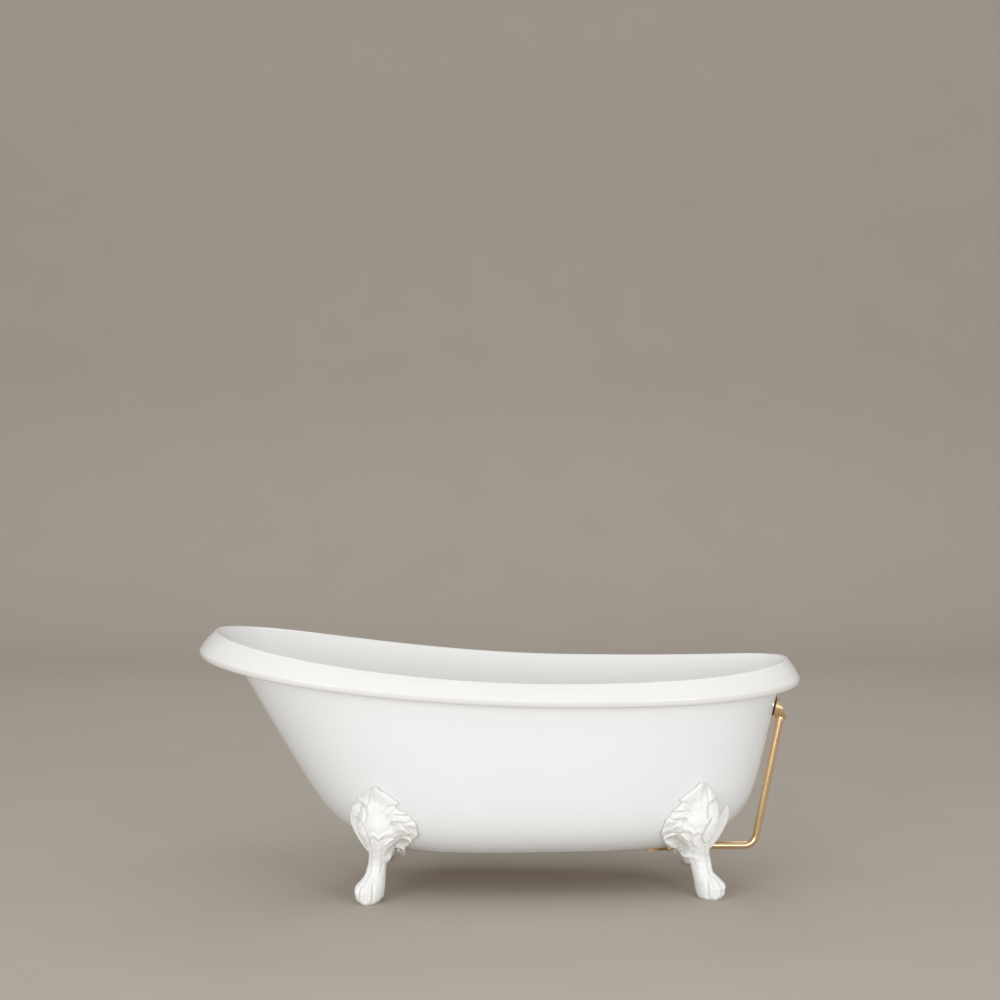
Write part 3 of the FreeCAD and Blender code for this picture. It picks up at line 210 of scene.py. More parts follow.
# %% Rose gold
def rose_gold(name, colour, smooth, hazy, pit):
    material, tree, shader = new_material(name)
    place = add_node(tree, "ShaderNodeTexCoord").outputs["Object"]
    haze = add_node(tree, "ShaderNodeTexNoise", Vector=place, Scale=45.0, Detail=3.0)
    gloss = add_node(tree, "ShaderNodeMapRange", Value=haze.outputs["Fac"], To_Min=smooth, To_Max=hazy)
    tree.links.new(gloss.outputs["Result"], shader.inputs["Roughness"])
    grit = add_node(tree, "ShaderNodeTexNoise", Vector=place, Scale=700.0, Detail=2.0)
    bump = add_node(tree, "ShaderNodeBump", Height=grit.outputs["Fac"], Strength=pit, Distance=0.0004)
    tree.links.new(bump.outputs["Normal"], shader.inputs["Normal"])
    shader.inputs["Base Color"].default_value = linear(colour)
    shader.inputs["Metallic"].default_value = 1.0
    return material


plated = rose_gold("polished_rose_gold_plate", "#FADBAE", 0.12, 0.2, 0.02)
cast_brass = rose_gold("cast_brass_as_plated", "#E2BC8C", 0.3, 0.42, 0.3)
insert_brass = rose_gold("turned_brass", "#D8B46C", 0.25, 0.35, 0.08)
zinc = rose_gold("zinc_plated_steel", "#C9CCD0", 0.28, 0.4, 0.08)
print("metals:", plated.name, cast_brass.name, insert_brass.name, zinc.name)

# %% [markdown]
# ## Rubber and board
# The gaskets and the plug's seal are moulded black rubber, matt with a fine bloom. The board under
# the floor and the blocks over the feet are chipboard brushed with polyester resin: pale chips of
# wood 4 to 8 mm across, with a glossy uneven coat and a few dark ones.

# %% Rubber and chipboard
def moulded_rubber():
    material, tree, shader = new_material("moulded_black_rubber")
    place = add_node(tree, "ShaderNodeTexCoord").outputs["Object"]
    bloom = add_node(tree, "ShaderNodeTexNoise", Vector=place, Scale=160.0, Detail=4.0)
    tint = add_node(tree, "ShaderNodeMix", {"data_type": "RGBA"}, _0=bloom.outputs["Fac"],
                    _6=linear("#141414"), _7=linear("#232222"))
    tree.links.new(tint.outputs[2], shader.inputs["Base Color"])
    bump = add_node(tree, "ShaderNodeBump", Height=bloom.outputs["Fac"], Strength=0.1, Distance=0.0003)
    tree.links.new(bump.outputs["Normal"], shader.inputs["Normal"])
    shader.inputs["Roughness"].default_value = 0.55
    return material


def resin_chipboard():
    material, tree, shader = new_material("resin_coated_chipboard")
    place = add_node(tree, "ShaderNodeTexCoord").outputs["Object"]
    chips = add_node(tree, "ShaderNodeTexVoronoi", {"feature": "F1"}, Vector=place, Scale=150.0)
    tone = add_node(tree, "ShaderNodeSeparateColor", Color=chips.outputs["Color"])
    ramp = add_node(tree, "ShaderNodeValToRGB", Fac=tone.outputs[0])
    ramp.color_ramp.elements[0].color = linear("#8A6B45")
    ramp.color_ramp.elements[1].color = linear("#D9C29A")
    middle = ramp.color_ramp.elements.new(0.3)
    middle.color = linear("#C4A679")
    tree.links.new(ramp.outputs["Color"], shader.inputs["Base Color"])
    coat = add_node(tree, "ShaderNodeTexNoise", Vector=place, Scale=30.0, Detail=3.0)
    gloss = add_node(tree, "ShaderNodeMapRange", Value=coat.outputs["Fac"], To_Min=0.25, To_Max=0.6)
    tree.links.new(gloss.outputs["Result"], shader.inputs["Roughness"])
    bump = add_node(tree, "ShaderNodeBump", Height=chips.outputs["Distance"], Strength=0.25, Distance=0.001)
    tree.links.new(bump.outputs["Normal"], shader.inputs["Normal"])
    return material


rubber = moulded_rubber()
chipboard = resin_chipboard()
print("rubber and board:", rubber.name, chipboard.name)

# %% [markdown]
# ## The level lines of the tub
# A slipper bath is drawn from above as an egg, fuller at the head than at the tap end, and from the
# side as a rim that dips and rises. Every level line of its walls is a smaller egg. These functions
# give a point of any such line, from the same sizes as the CAD model: how full the egg is, where
# the rim's edge runs, and how far the head, the sides and the tap end have spread.

# %% Egg, rim and walls
LENGTH, WIDTH = 1700, 800
HALF = (LENGTH / 2, WIDTH / 2, LENGTH / 2)
BAND = (47, 43, 37)
REACH = [half - band for half, band in zip(HALF, BAND)]
FLOOR, TUB_BOTTOM = 141, 117
FLOOR_REACH, BASE_REACH = (345, 178, 540), (350, 200, 545)
SKIN_TOP, SKIN_DROP = (103, 55, 60), (85, 62, 80)
SHELL_SHEET, SKIN_SHEET = 6, 5
RIM_LOW_X, RIM_LOW, HEAD_RISE, TAP_RISE = 210, 599, 113, 33


def egg(c):
    """How much fuller than an ellipse the egg is at c, from -1 at the head to 1 at the tap end."""
    return 1 - 0.137 * c + 0.377 * c ** 2 - 0.14 * c ** 4


egg_widest = max(math.sin(math.radians(a)) * egg(-math.cos(math.radians(a))) for a in range(181))


def between(stations, c):
    """A size at c, where stations holds it for the head (-1), the sides (0) and the tap end (1)."""
    head, side, tap = stations
    return side + ((head if c < 0 else tap) - side) * c * c


def rim_edge(c):
    """Level of the rim's inner top edge over the floor of the room."""
    x = (REACH[2] - REACH[0]) / 2 + (REACH[2] + REACH[0]) / 2 * c
    if x < RIM_LOW_X:
        return RIM_LOW + HEAD_RISE * ((RIM_LOW_X - x) / (RIM_LOW_X + REACH[0])) ** 1.88
    return RIM_LOW + TAP_RISE * ((x - RIM_LOW_X) / (REACH[2] - RIM_LOW_X)) ** 2.7


def level_line(reaches, level):
    """A level line: its turn runs from 0 at the head, by the near side, to 2 pi."""
    head, side, tap = reaches

    def point(turn):
        c = -math.cos(turn)
        x = (tap - head) / 2 + (tap + head) / 2 * c
        y = -side * math.sin(turn) * egg(c) / egg_widest
        return Vector((x, y, level(c))) * MM

    return point


class Wall:
    """A wall that spreads from a flat base line up to a line that follows the rim."""

    def __init__(self, low, high, base, drops, swells, rates, flares, power):
        self.low, self.high, self.base, self.drops = low, high, base, drops
        self.swells, self.rates, self.flares, self.power = swells, rates, flares, power

    def line(self, step, offset=0.0):
        """The reaches and the level of the line at this share of the height, moved square off."""
        reaches, sinks = [], []
        for i, c in enumerate((-1, 0, 1)):
            swell, rate, flare = self.swells[i], self.rates[i], self.flares[i]
            steady = 1 - swell - flare
            far = steady * step + swell * (1 - (1 - step) ** rate) + flare * step ** self.power
            fast = steady + swell * rate * (1 - step) ** (rate - 1)
            fast += flare * self.power * step ** (self.power - 1)
            travel = self.high[i] - self.low[i]
            rise = rim_edge(c) - self.drops[i] - self.base
            slope = math.hypot(travel * fast, rise)
            reaches.append(self.low[i] + travel * far + offset * rise / slope)
            sinks.append(offset * travel * fast / slope)

        def level(c):
            top = rim_edge(c) - between(self.drops, c)
            return self.base + step * (top - self.base) - between(sinks, c)

        return level_line(reaches, level)


inside_wall = Wall(FLOOR_REACH, REACH, FLOOR, (0, 0, 0), (0.12, 0.5, 0.57), (8, 8, 8),
                   (0.07, 0.16, 0.13), 9)
outside_wall = Wall(BASE_REACH, [half - inset for half, inset in zip(HALF, SKIN_TOP)], TUB_BOTTOM,
                    SKIN_DROP, (0.235, 0.62, 0.586), (10, 9, 8.2), (0, 0, 0), 1)


def band_line(insets, drops):
    """A line of the rolled rim, in from its outermost line and down from the inner top edge."""
    reaches = [half - inset for half, inset in zip(HALF, insets)]
    return level_line(reaches, lambda c: rim_edge(c) - between(drops, c))


print("rim edge at head, side, tap:", [round(rim_edge(c)) for c in (-1, 0, 1)])

# %% [markdown]
# ## Drawing up a wall
# A hollow form like this can be drawn up ring by ring, as a potter does: a circle is added, its
# edge is extruded, and each new ring is set on its own line. Every vertex carries its turn round
# the tub as an attribute, which extrusion copies, so a new ring knows where each of its vertices
# belongs. 256 vertices round the tub are 16 mm apart, close enough for a smooth edge.

# %% Ring by ring
AROUND = 256


def draw_up(name, lines, cap_first=True, cap_last=True, around=AROUND):
    """One skin through these lines: each gives a point for a turn from 0 to 2 pi."""
    deselect_all()
    ops.mesh.primitive_circle_add(vertices=around, radius=1.0)
    piece = bpy.context.object
    turns = piece.data.attributes.new("turn", "FLOAT", "POINT")
    turns.data.foreach_set("value", [2 * math.pi * i / around for i in range(around)])
    ops.object.mode_set(mode="EDIT")
    ops.mesh.select_all(action="SELECT")
    for i, line in enumerate(lines):
        if i:
            ops.mesh.extrude_edges_move()
        form = bmesh.from_edit_mesh(piece.data)
        turn = form.verts.layers.float["turn"]
        for vert in form.verts:
            if vert.select:
                vert.co = line(vert[turn])
        if (i == 0 and cap_first) or (i == len(lines) - 1 and cap_last):
            add_lid(piece)
            if i == 0:
                select_open_edge()
    ops.mesh.select_all(action="SELECT")
    ops.mesh.normals_make_consistent(inside=False)
    ops.object.mode_set(mode="OBJECT")
    ops.object.shade_smooth()
    piece.name = piece.data.name = name
    return piece


def add_lid(piece):
    """Close a level ring: rings of smaller faces first, so that the flat shades evenly."""
    for share in (0.93, 0.6):
        ops.mesh.extrude_edges_move()
        form = bmesh.from_edit_mesh(piece.data)
        ring = [vert for vert in form.verts if vert.select]
        middle = sum((vert.co for vert in ring), Vector()) / len(ring)
        for vert in ring:
            vert.co = middle + (vert.co - middle) * share
    ops.mesh.edge_face_add()
    bmesh.update_edit_mesh(piece.data)


def select_open_edge():
    """Select the open edge again, after a lid has closed the other side of it."""
    ops.mesh.select_all(action="DESELECT")
    ops.mesh.select_mode(type="EDGE")
    ops.mesh.select_non_manifold(extend=False, use_wire=False, use_boundary=True,
                                 use_multi_face=False, use_non_contiguous=False, use_verts=False)
    ops.mesh.select_mode(type="VERT")


# %% [markdown]
# ## The bathing shell
# One sheet makes the floor, the walls and the rolled rim, which hooks over outside and returns to
# meet the outer skin. From inside to outside the lines are: the floor's edge, the walls, the crown
# of the rim, its outermost line, its tucked lower edge, the return, and then the hidden back of the
# same sheet, so that the piece has its true thickness of 6 mm and is closed.

# %% Bathing shell
STEPS = [0, 0.004, 0.009, 0.015, 0.023, 0.033, 0.045, 0.06, 0.08, 0.105, 0.135, 0.17, 0.21, 0.26,
         0.32, 0.39, 0.47, 0.55, 0.63, 0.7, 0.76, 0.81, 0.85, 0.885, 0.915, 0.94, 0.96, 0.975, 0.988]
FALL = (54, 40, 56)
TUCK_IN, TUCK_FALL = 9, 18


def crown_lines():
    """The rolled rim, rounded from the inner edge out and down to its outermost line."""
    lines = []
    for share in (0, 0.03, 0.07, 0.12, 0.19, 0.3, 0.42, 0.55, 0.68, 0.8, 0.9, 0.96, 1):
        width = 1 - (1 - share) ** 1.1
        bulge = 7 * share * (1 - share) + 1.2 * math.sin(math.pi * min(1, share / 0.12))
        insets = [size * (1 - width) for size in BAND]
        drops = [fall * share ** 1.12 - bulge for fall in FALL]
        lines.append(band_line(insets, drops))
    return lines


tuck = [(0.02, 0.12), (0.12, 0.42), (0.4, 0.75), (0.72, 0.94), (1.0, 1.0)]
roll_under = [band_line([TUCK_IN * inset] * 3, [fall + TUCK_FALL * drop for fall in FALL])
              for inset, drop in tuck]
returned = [
    band_line([14] * 3, [fall + TUCK_FALL for fall in FALL]),
    band_line([inset - 2.3 for inset in SKIN_TOP], [drop + 2 for drop in SKIN_DROP]),
    band_line([inset - 0.3 for inset in SKIN_TOP], [drop + 0.5 for drop in SKIN_DROP]),
    band_line([inset - 0.3 for inset in SKIN_TOP], [drop - 2 for drop in SKIN_DROP]),
    band_line([15] * 3, [fall + TUCK_FALL - SHELL_SHEET for fall in FALL]),
    band_line([SHELL_SHEET] * 3, FALL),
    band_line([inset * 0.45 + 3 for inset in BAND], [fall / 2 + 1 for fall in FALL]),
]
walls = [inside_wall.line(step) for step in STEPS]
backs = [inside_wall.line(step, SHELL_SHEET) for step in reversed(STEPS[1::2])]
underside = level_line([reach + 3 for reach in FLOOR_REACH], lambda c: FLOOR - SHELL_SHEET)
shell = draw_up("bathing_shell", walls + crown_lines() + roll_under + returned + backs + [underside])
print("bathing shell:", len(shell.data.polygons), "faces")

# %% [markdown]
# ## Holes for the fittings
# The waste passes through the floor and the overflow through the tap end wall. A boolean cuts each
# hole with a plain cylinder that is deleted afterwards. The cut leaves long odd faces beside the
# hole, and their normals would show as dents in the gloss, so near the hole the normals are copied
# back from an uncut copy of the piece.

# %% Cut the holes
WASTE, WASTE_HOLE = Vector((430, 0, FLOOR - SHELL_SHEET / 2)) * MM, 24.3
LEAN = math.radians(12.232)
OVERFLOW, OVERFLOW_HOLE = Vector((756.952, 0, 497)) * MM, 26
OUTWARD = Vector((math.cos(LEAN), 0, -math.sin(LEAN)))
GLOSS_REACH = 45


def cut_round(piece, radius, centre, axis, depth):
    """Cut a round hole of this radius, in millimetres, through a piece."""
    uncut = piece.copy()
    uncut.data = piece.data.copy()
    bpy.context.collection.objects.link(uncut)
    deselect_all()
    ops.mesh.primitive_cylinder_add(vertices=64, radius=radius * MM, depth=depth * MM, location=centre,
                                    rotation=axis.to_track_quat("Z", "Y").to_euler())
    drill = bpy.context.object
    apply_modifier(piece, "BOOLEAN", object=drill, operation="DIFFERENCE", solver="EXACT")
    beside = piece.vertex_groups.new(name="beside_hole")
    beside.add([vert.index for vert in piece.data.vertices
                if (vert.co - centre).length < (radius + GLOSS_REACH) * MM], 1.0, "REPLACE")
    apply_modifier(piece, "DATA_TRANSFER", object=uncut, use_loop_data=True, vertex_group=beside.name,
                   data_types_loops={"CUSTOM_NORMAL"}, loop_mapping="POLYINTERP_NEAREST")
    for spare in (drill, uncut):
        bpy.data.objects.remove(spare)


cut_round(shell, WASTE_HOLE, WASTE, Vector((0, 0, 1)), 40)
cut_round(shell, OVERFLOW_HOLE, OVERFLOW, OUTWARD, 60)
finish_with(shell, inner_acrylic)
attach(shell, "bath")
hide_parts("tub_inner_shell")
print("holes cut:", len(shell.data.polygons), "faces")

# %% [markdown]
# ## The outer skin
# The outside of the tub is a second sheet, 5 mm thick, that hangs from under the rim and is bonded
# round the board at its foot. It swells out of the floor line quickly and then leans outward in an
# almost straight flank.

# %% Outer skin
SKIN_STEPS = [0, 0.012, 0.026, 0.042, 0.06, 0.08, 0.105, 0.135, 0.17, 0.21, 0.26, 0.32, 0.39, 0.47,
              0.55, 0.64, 0.73, 0.82, 0.91, 1]
flank = [outside_wall.line(step) for step in SKIN_STEPS]
flank_back = [outside_wall.line(step, -SKIN_SHEET) for step in reversed(SKIN_STEPS[1:])]
lip = level_line([reach - 10 for reach in BASE_REACH], lambda c: TUB_BOTTOM)
loop = flank + flank_back + [lip, flank[0]]
outer = draw_up("outer_skin", loop, cap_first=False, cap_last=False)
alone(outer)
ops.object.mode_set(mode="EDIT")
ops.mesh.select_all(action="SELECT")
ops.mesh.remove_doubles(threshold=0.00001)
ops.mesh.normals_make_consistent(inside=False)
ops.object.mode_set(mode="OBJECT")
ops.object.shade_smooth_by_angle(angle=math.radians(35))
cut_round(outer, OVERFLOW_HOLE, OVERFLOW + OUTWARD * 20 * MM, OUTWARD, 30)
finish_with(outer, outer_acrylic)
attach(outer, "bath")
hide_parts("tub_outer_skin")
print("outer skin:", len(outer.data.polygons), "faces")

# %% [markdown]
# ## Claw feet, the rough form
# Each foot is one casting: a lion's paw and leg under an acanthus leaf that hugs the tub. Carving
# like this is drawn from its outline first. For every level there are two edges, towards the end of
# the tub and towards its middle, and the leg, knee and paw swell forward between them. The leaf has
# no depth of its own: a ray finds the outer skin of the tub, and the leaf lies on it as a coat.

# %% Outlines and depths of the feet
FEET = {
    "head": {
        "place": (-1, 349, 268),
        "broad": 1.0,
        "end_edge": [(0, -27), (14, -38), (30, -43), (49, -38), (62, -26), (76, -16), (103, -8),
                     (127, -8), (145, -10), (156, -25), (170, -39), (188, -50), (210, -56), (243, -57),
                     (256, -52), (265, -42), (272, -36), (281, -37), (290, -24), (300, -14), (311, 0),
                     (318, 14)],
        "middle_edge": [(0, 22), (15, 34), (41, 38), (90, 40), (106, 43), (122, 59), (134, 80),
                        (143, 97), (160, 108), (172, 118), (185, 124), (200, 123), (212, 121),
                        (224, 116), (235, 107), (246, 97), (254, 78), (262, 68), (269, 72), (276, 76),
                        (290, 56), (300, 42), (311, 22), (318, 17)],
    },
    "tap": {
        "place": (1, 572, 213),
        "broad": 1.18,
        "end_edge": [(0, -29), (14, -38), (34, -42), (55, -26), (70, -10), (113, -3), (140, -2),
                     (150, -2), (170, -6), (188, -15), (210, -24), (230, -29), (249, -32),
                     (262, -29), (272, -20), (280, -23), (295, -8), (308, 6), (318, 20)],
        "middle_edge": [(0, 31), (15, 36), (48, 42), (86, 50), (105, 62), (122, 88), (135, 111),
                        (150, 122), (176, 130), (198, 126), (220, 117), (239, 105), (254, 90),
                        (262, 80), (275, 83), (290, 63), (304, 44), (318, 24)],
    },
}
KNEE_END = [(117, -8), (145, -12), (160, -20), (185, -34), (210, -38), (235, -34), (260, -25),
            (290, -10), (318, 5)]
KNEE_MIDDLE = [(117, 54), (130, 58), (145, 66), (160, 76), (185, 86), (210, 80), (235, 68), (260, 52),
               (290, 38), (318, 25)]
# at each level: how far out the middle of the form lies, its slant, and its swell out and back
DEPTHS = [(0, 0, -11, 34, 33), (6, 0, -11, 39, 38), (15, 0, -11, 41, 40), (30, 0, -11, 41, 40),
          (48, -2, -9, 36, 36), (62, -7, -7, 31, 31), (76, -12, -5, 28, 28), (98, -17, -4, 27, 27),
          (117, -20, -3, 32, 44), (135, -20, -3, 40, 48), (160, -18, -2, 49, 48), (185, -14, 0, 54, 48),
          (210, -10, 0, 52, 48), (235, -8, 0, 44, 44), (260, -6, 0, 32, 40), (290, -2, 0, 20, 30),
          (318, 0, 0, 8, 20)]
SKIN_TURN, SKIN_SLANT, SKIN_GAP = 150, 0.7, 0.3
LEAF, LEAF_CROWN, BLEND = 11, 3, 8
SCROLL_LEVEL, SCROLL_IN, SCROLL_OUT, SCROLL_TURN = 246, 20, 14, 0.38
PLATE_BACK, VOXEL = 48, 1.7


def read_off(table, level, column=1):
    """A value from a table of levels, straight between its rows."""
    return float(np.interp(level, [row[0] for row in table], [row[column] for row in table]))


skin_tree = BVHTree.FromObject(outer, bpy.context.evaluated_depsgraph_get())


def skin_out(foot, along, level):
    """How far out from the paw's middle the tub's skin lies; where it turns under, a slant."""
    end, foot_x, foot_y = foot["place"]
    start = Vector((end * (foot_x - along), -1000, max(level, SKIN_TURN))) * MM
    hit = skin_tree.ray_cast(start, Vector((0, 1, 0)))[0]
    return (-hit.y / MM if hit else 100.0) - foot_y - SKIN_SLANT * max(0, SKIN_TURN - level)


def foot_point(foot, level, turn):
    """A point of the rough foot: turn runs from its end edge, over its front, and round the back."""
    end, foot_x, foot_y = foot["place"]
    low, high = (read_off(foot[edge], level) for edge in ("end_edge", "middle_edge"))
    across, facing = -math.cos(turn), math.sin(turn)
    along = low + (across + 1) / 2 * (high - low)
    if level > TUB_BOTTOM:
        low, high = read_off(KNEE_END, level), read_off(KNEE_MIDDLE, level) * foot["broad"]
    spread = (2 * along - low - high) / (high - low)
    middle, slant, swell, back = (read_off(DEPTHS, level, i) for i in range(1, 5))
    round_off = math.sqrt(max(0.0, 1 - spread * spread))
    leg = middle + slant * max(-1, min(1, spread))
    coat = skin_out(foot, along, level) + SKIN_GAP
    if level > TUB_BOTTOM:
        leaf = coat + (LEAF + LEAF_CROWN * (1 - across * across)) * abs(facing) ** 0.4
        knee = leg + swell * round_off if round_off else -200.0
        front = max(leaf, min(knee, leaf + (knee - leaf) * 3 * abs(facing)))
        if abs(knee - leaf) < BLEND and facing > 0.3:
            front += (BLEND - abs(knee - leaf)) ** 2 / (4 * BLEND)
        out = front if facing > 0 else coat
    else:
        out = leg + (swell if facing > 0 else back) * round_off * (1 if facing > 0 else -1)
    return Vector((end * (foot_x - along), -(foot_y + out), level)) * MM


print("tub's skin beside a head foot:", [round(skin_out(FEET["head"], 20, z)) for z in (130, 200, 300)])

# %% [markdown]
# The rough foot is drawn up ring by ring, and the scroll at its temple is a ring with an eye. The
# plate with the bolt holes, under the tub, is cut from the CAD casting by a bisection. A voxel
# remesh then melts these pieces into one skin of even 1.7 mm quads, which can be carved anywhere.

# %% Rough foot
def rough_foot(name):
    foot = FEET[name]
    end, foot_x, foot_y = foot["place"]
    levels = [0, 3, 6, 10] + list(range(14, 318, 4)) + [318]
    lines = [lambda turn, z=z: foot_point(foot, z, turn) for z in levels]
    rough = draw_up("rough_" + name, lines, around=112)
    casting = merged_copy("claw_foot_%s_near" % name)
    ops.object.mode_set(mode="EDIT")
    ops.mesh.select_all(action="SELECT")
    ops.mesh.bisect(plane_co=(0, -(foot_y - PLATE_BACK) * MM, 0), plane_no=(0, 1, 0), use_fill=True,
                    clear_inner=True)
    ops.object.mode_set(mode="OBJECT")
    pieces = [rough, casting]
    eye_along = read_off(foot["end_edge"], SCROLL_LEVEL) + SCROLL_IN
    out = skin_out(foot, eye_along, SCROLL_LEVEL) + SCROLL_OUT
    facing = Vector((end * math.sin(SCROLL_TURN), -math.cos(SCROLL_TURN), 0))
    centre = Vector((end * (foot_x - eye_along), -(foot_y + out), SCROLL_LEVEL))
    turned = facing.to_track_quat("Z", "Y").to_euler()
    for major, minor, ahead in ((13.5, 6, 0), (5, 4.5, 5)):
        deselect_all()
        ops.mesh.primitive_torus_add(location=(centre + facing * ahead) * MM, rotation=turned,
                                     major_segments=48, minor_segments=16,
                                     major_radius=major * MM, minor_radius=minor * MM)
        pieces.append(bpy.context.object)
    for piece in pieces:
        apply_modifier(piece, "REMESH", mode="VOXEL", voxel_size=VOXEL * MM)
    alone(rough)
    for other in pieces[1:]:
        other.select_set(True)
    ops.object.join()
    apply_modifier(rough, "REMESH", mode="VOXEL", voxel_size=VOXEL * MM)
    apply_modifier(rough, "SMOOTH", factor=0.5, iterations=5)
    return rough


# %% [markdown]
# ## Carving
# A carver works over the rough form with gouges, stroke by stroke. Here each stroke is a line in
# the front view with a width and a depth: vertices near it that face forward move in or out. The
# strokes are given on the head foot, and the tap foot, which is a little broader, takes them at the
# same share of its width. The toes are cut round the paw, so that they also show from the side.

# %% Strokes
# along and level of each point, then the width and the height of the stroke; below 0 it cuts in
STROKES = [
    ([(14, 238), (17, 275), (16, 312)], 9, 3.5),
    ([(30, 240), (52, 258), (72, 272)], 8, 4),
    ([(40, 236), (68, 242), (92, 245)], 7, 4),
    ([(52, 222), (84, 226), (112, 212)], 8, 4),
    ([(60, 200), (92, 200), (118, 184)], 8, 4),
    ([(-6, 262), (-22, 272), (-34, 277)], 6, 3.5),
    ([(-3, 308), (-8, 288), (-12, 262)], 3.2, -5),
    ([(74, 268), (55, 263), (34, 250)], 3.2, -6),
    ([(98, 238), (72, 240), (46, 240)], 3.2, -6),
    ([(112, 222), (88, 216), (58, 221)], 3, -4.5),
    ([(58, 219), (80, 212), (101, 194)], 3.2, -5),
    ([(66, 178), (88, 176), (110, 168)], 2.8, -5),
    ([(118, 224), (122, 199), (122, 180), (104, 162)], 3.4, 4.5),
    ([(108, 205), (111, 186), (98, 172)], 3.6, -3.5),
    ([(-38, 271), (-17, 262), (-12, 243), (-16, 226)], 3.4, -8),
    ([(-28, 220), (-17, 199), (-5, 172), (-2, 150)], 3.4, -9),
    ([(-46, 226), (-40, 200), (-24, 168)], 11, 2.5),
    ([(-50, 222), (-44, 200), (-30, 172)], 2.4, -3.5),
    ([(-43, 224), (-37, 200), (-22, 168)], 2.4, -3.5),
    ([(-35, 222), (-28, 200), (-14, 166)], 2.4, -3.5),
    ([(24, 180), (34, 190), (48, 194), (60, 191), (68, 183)], 4.4, 2.6),
    ([(-3, 181), (4, 189), (11, 191), (19, 182)], 4, 2.4),
    ([(30, 176), (42, 181), (56, 180)], 5, -2.2),
    ([(2, 176), (10, 180), (16, 175)], 4, -2),
    ([(22, 200), (23, 178), (25, 150)], 4.5, 2.5),
    ([(34, 176), (36, 160), (34, 138)], 3, -2.5),
    ([(8, 176), (10, 158), (12, 136)], 3, -2.5),
    ([(40, 161), (54, 174), (69, 178), (90, 172), (108, 160)], 3.4, 3.5),
    ([(44, 108), (60, 127), (80, 138), (98, 146), (108, 158)], 4, 4.5),
    ([(46, 130), (62, 148), (80, 156), (98, 158)], 8, -6),
    ([(4, 228), (18, 222), (36, 226)], 14, 2.5),
    ([(6, 250), (10, 275), (10, 300)], 1.6, -1.6),
    ([(24, 250), (28, 272), (24, 300)], 1.6, -1.6),
    ([(44, 262), (60, 272), (68, 276)], 1.6, -1.5),
    ([(56, 232), (76, 235), (92, 234)], 1.6, -1.5),
    ([(66, 208), (86, 206), (106, 196)], 1.6, -1.5),
    ([(2, 140), (-2, 108), (-4, 86), (-14, 64)], 4, -4),
    ([(20, 150), (22, 120), (20, 92)], 12, 2),
    ([(32, 130), (31, 105), (28, 84)], 3, -2),
]
TOE_GROOVES = (76, 104, 133, 161, 192)


def carve(piece, name):
    """Move the vertices of a rough foot along their normals by what each stroke says there."""
    foot, model = FEET[name], FEET["head"]
    end, foot_x, foot_y = foot["place"]
    mesh = piece.data
    places = np.empty(len(mesh.vertices) * 3)
    mesh.vertices.foreach_get("co", places)
    places = places.reshape(-1, 3) / MM
    normals = np.array([vert.normal[:] for vert in mesh.vertices])
    level = places[:, 2]
    along = foot_x - end * places[:, 0]
    out = -places[:, 1] - foot_y

    def edge(of, side):
        return np.interp(level, [row[0] for row in of[side]], [row[1] for row in of[side]])

    share = (along - edge(foot, "end_edge")) / (edge(foot, "middle_edge") - edge(foot, "end_edge"))
    drawn = edge(model, "end_edge") + share * (edge(model, "middle_edge") - edge(model, "end_edge"))
    move = np.zeros(len(level))
    for points, width, height in STROKES:
        near = np.full(len(level), 1e9)
        for (a0, z0), (a1, z1) in zip(points, points[1:]):
            run = (a1 - a0) ** 2 + (z1 - z0) ** 2
            t = np.clip(((drawn - a0) * (a1 - a0) + (level - z0) * (z1 - z0)) / run, 0, 1)
            near = np.minimum(near, np.hypot(drawn - a0 - t * (a1 - a0), level - z0 - t * (z1 - z0)))
        move += 0.85 * height * np.exp(-(near / width) ** 2)
    # strokes work where the form faces forward, and fade out behind the leg
    move *= np.clip(0.25 - normals[:, 1] * 1.6, 0, 1) * np.clip((out + 60) / 20, 0, 1)
    # toes are cut by their turn round the ankle, and run out over it
    ankle = np.interp(level, [0, 48, 98], [-2, 0, 16])
    turn = np.degrees(np.arctan2(out - read_off(DEPTHS, 30), along - ankle))
    turn = np.where(turn < -90, turn + 360, turn)
    fade = np.interp(level, [0, 3, 12, 40, 78], [0.0, 0.2, 1, 0.9, 0])
    for groove in TOE_GROOVES:
        move -= 6 * fade * np.exp(-((turn - groove) / 5.5) ** 2)
    for low_turn, high_turn in zip(TOE_GROOVES, TOE_GROOVES[1:]):
        knuckle = ((turn - (low_turn + high_turn) / 2) / 11) ** 2 + ((level - 38) / 12) ** 2
        claw = ((turn - (low_turn + high_turn) / 2) / 8) ** 2 + ((level - 14) / 9) ** 2
        move += 3.2 * np.exp(-knuckle) + 2.2 * np.exp(-claw)
    places += normals * move[:, None]
    # the sole is flat on the floor
    places[:, 2] = np.maximum(places[:, 2], 0.0)
    places[:, 2] = np.where(places[:, 2] < 1.4, 0.0, places[:, 2])
    mesh.vertices.foreach_set("co", (places * MM).ravel())
    mesh.update()


# %% [markdown]
# One foot is made for each end on the near side. Its twin across the bath is a mirrored copy with
# a mesh of its own, and because a mirror turns a shape inside out, its normals are made outward.

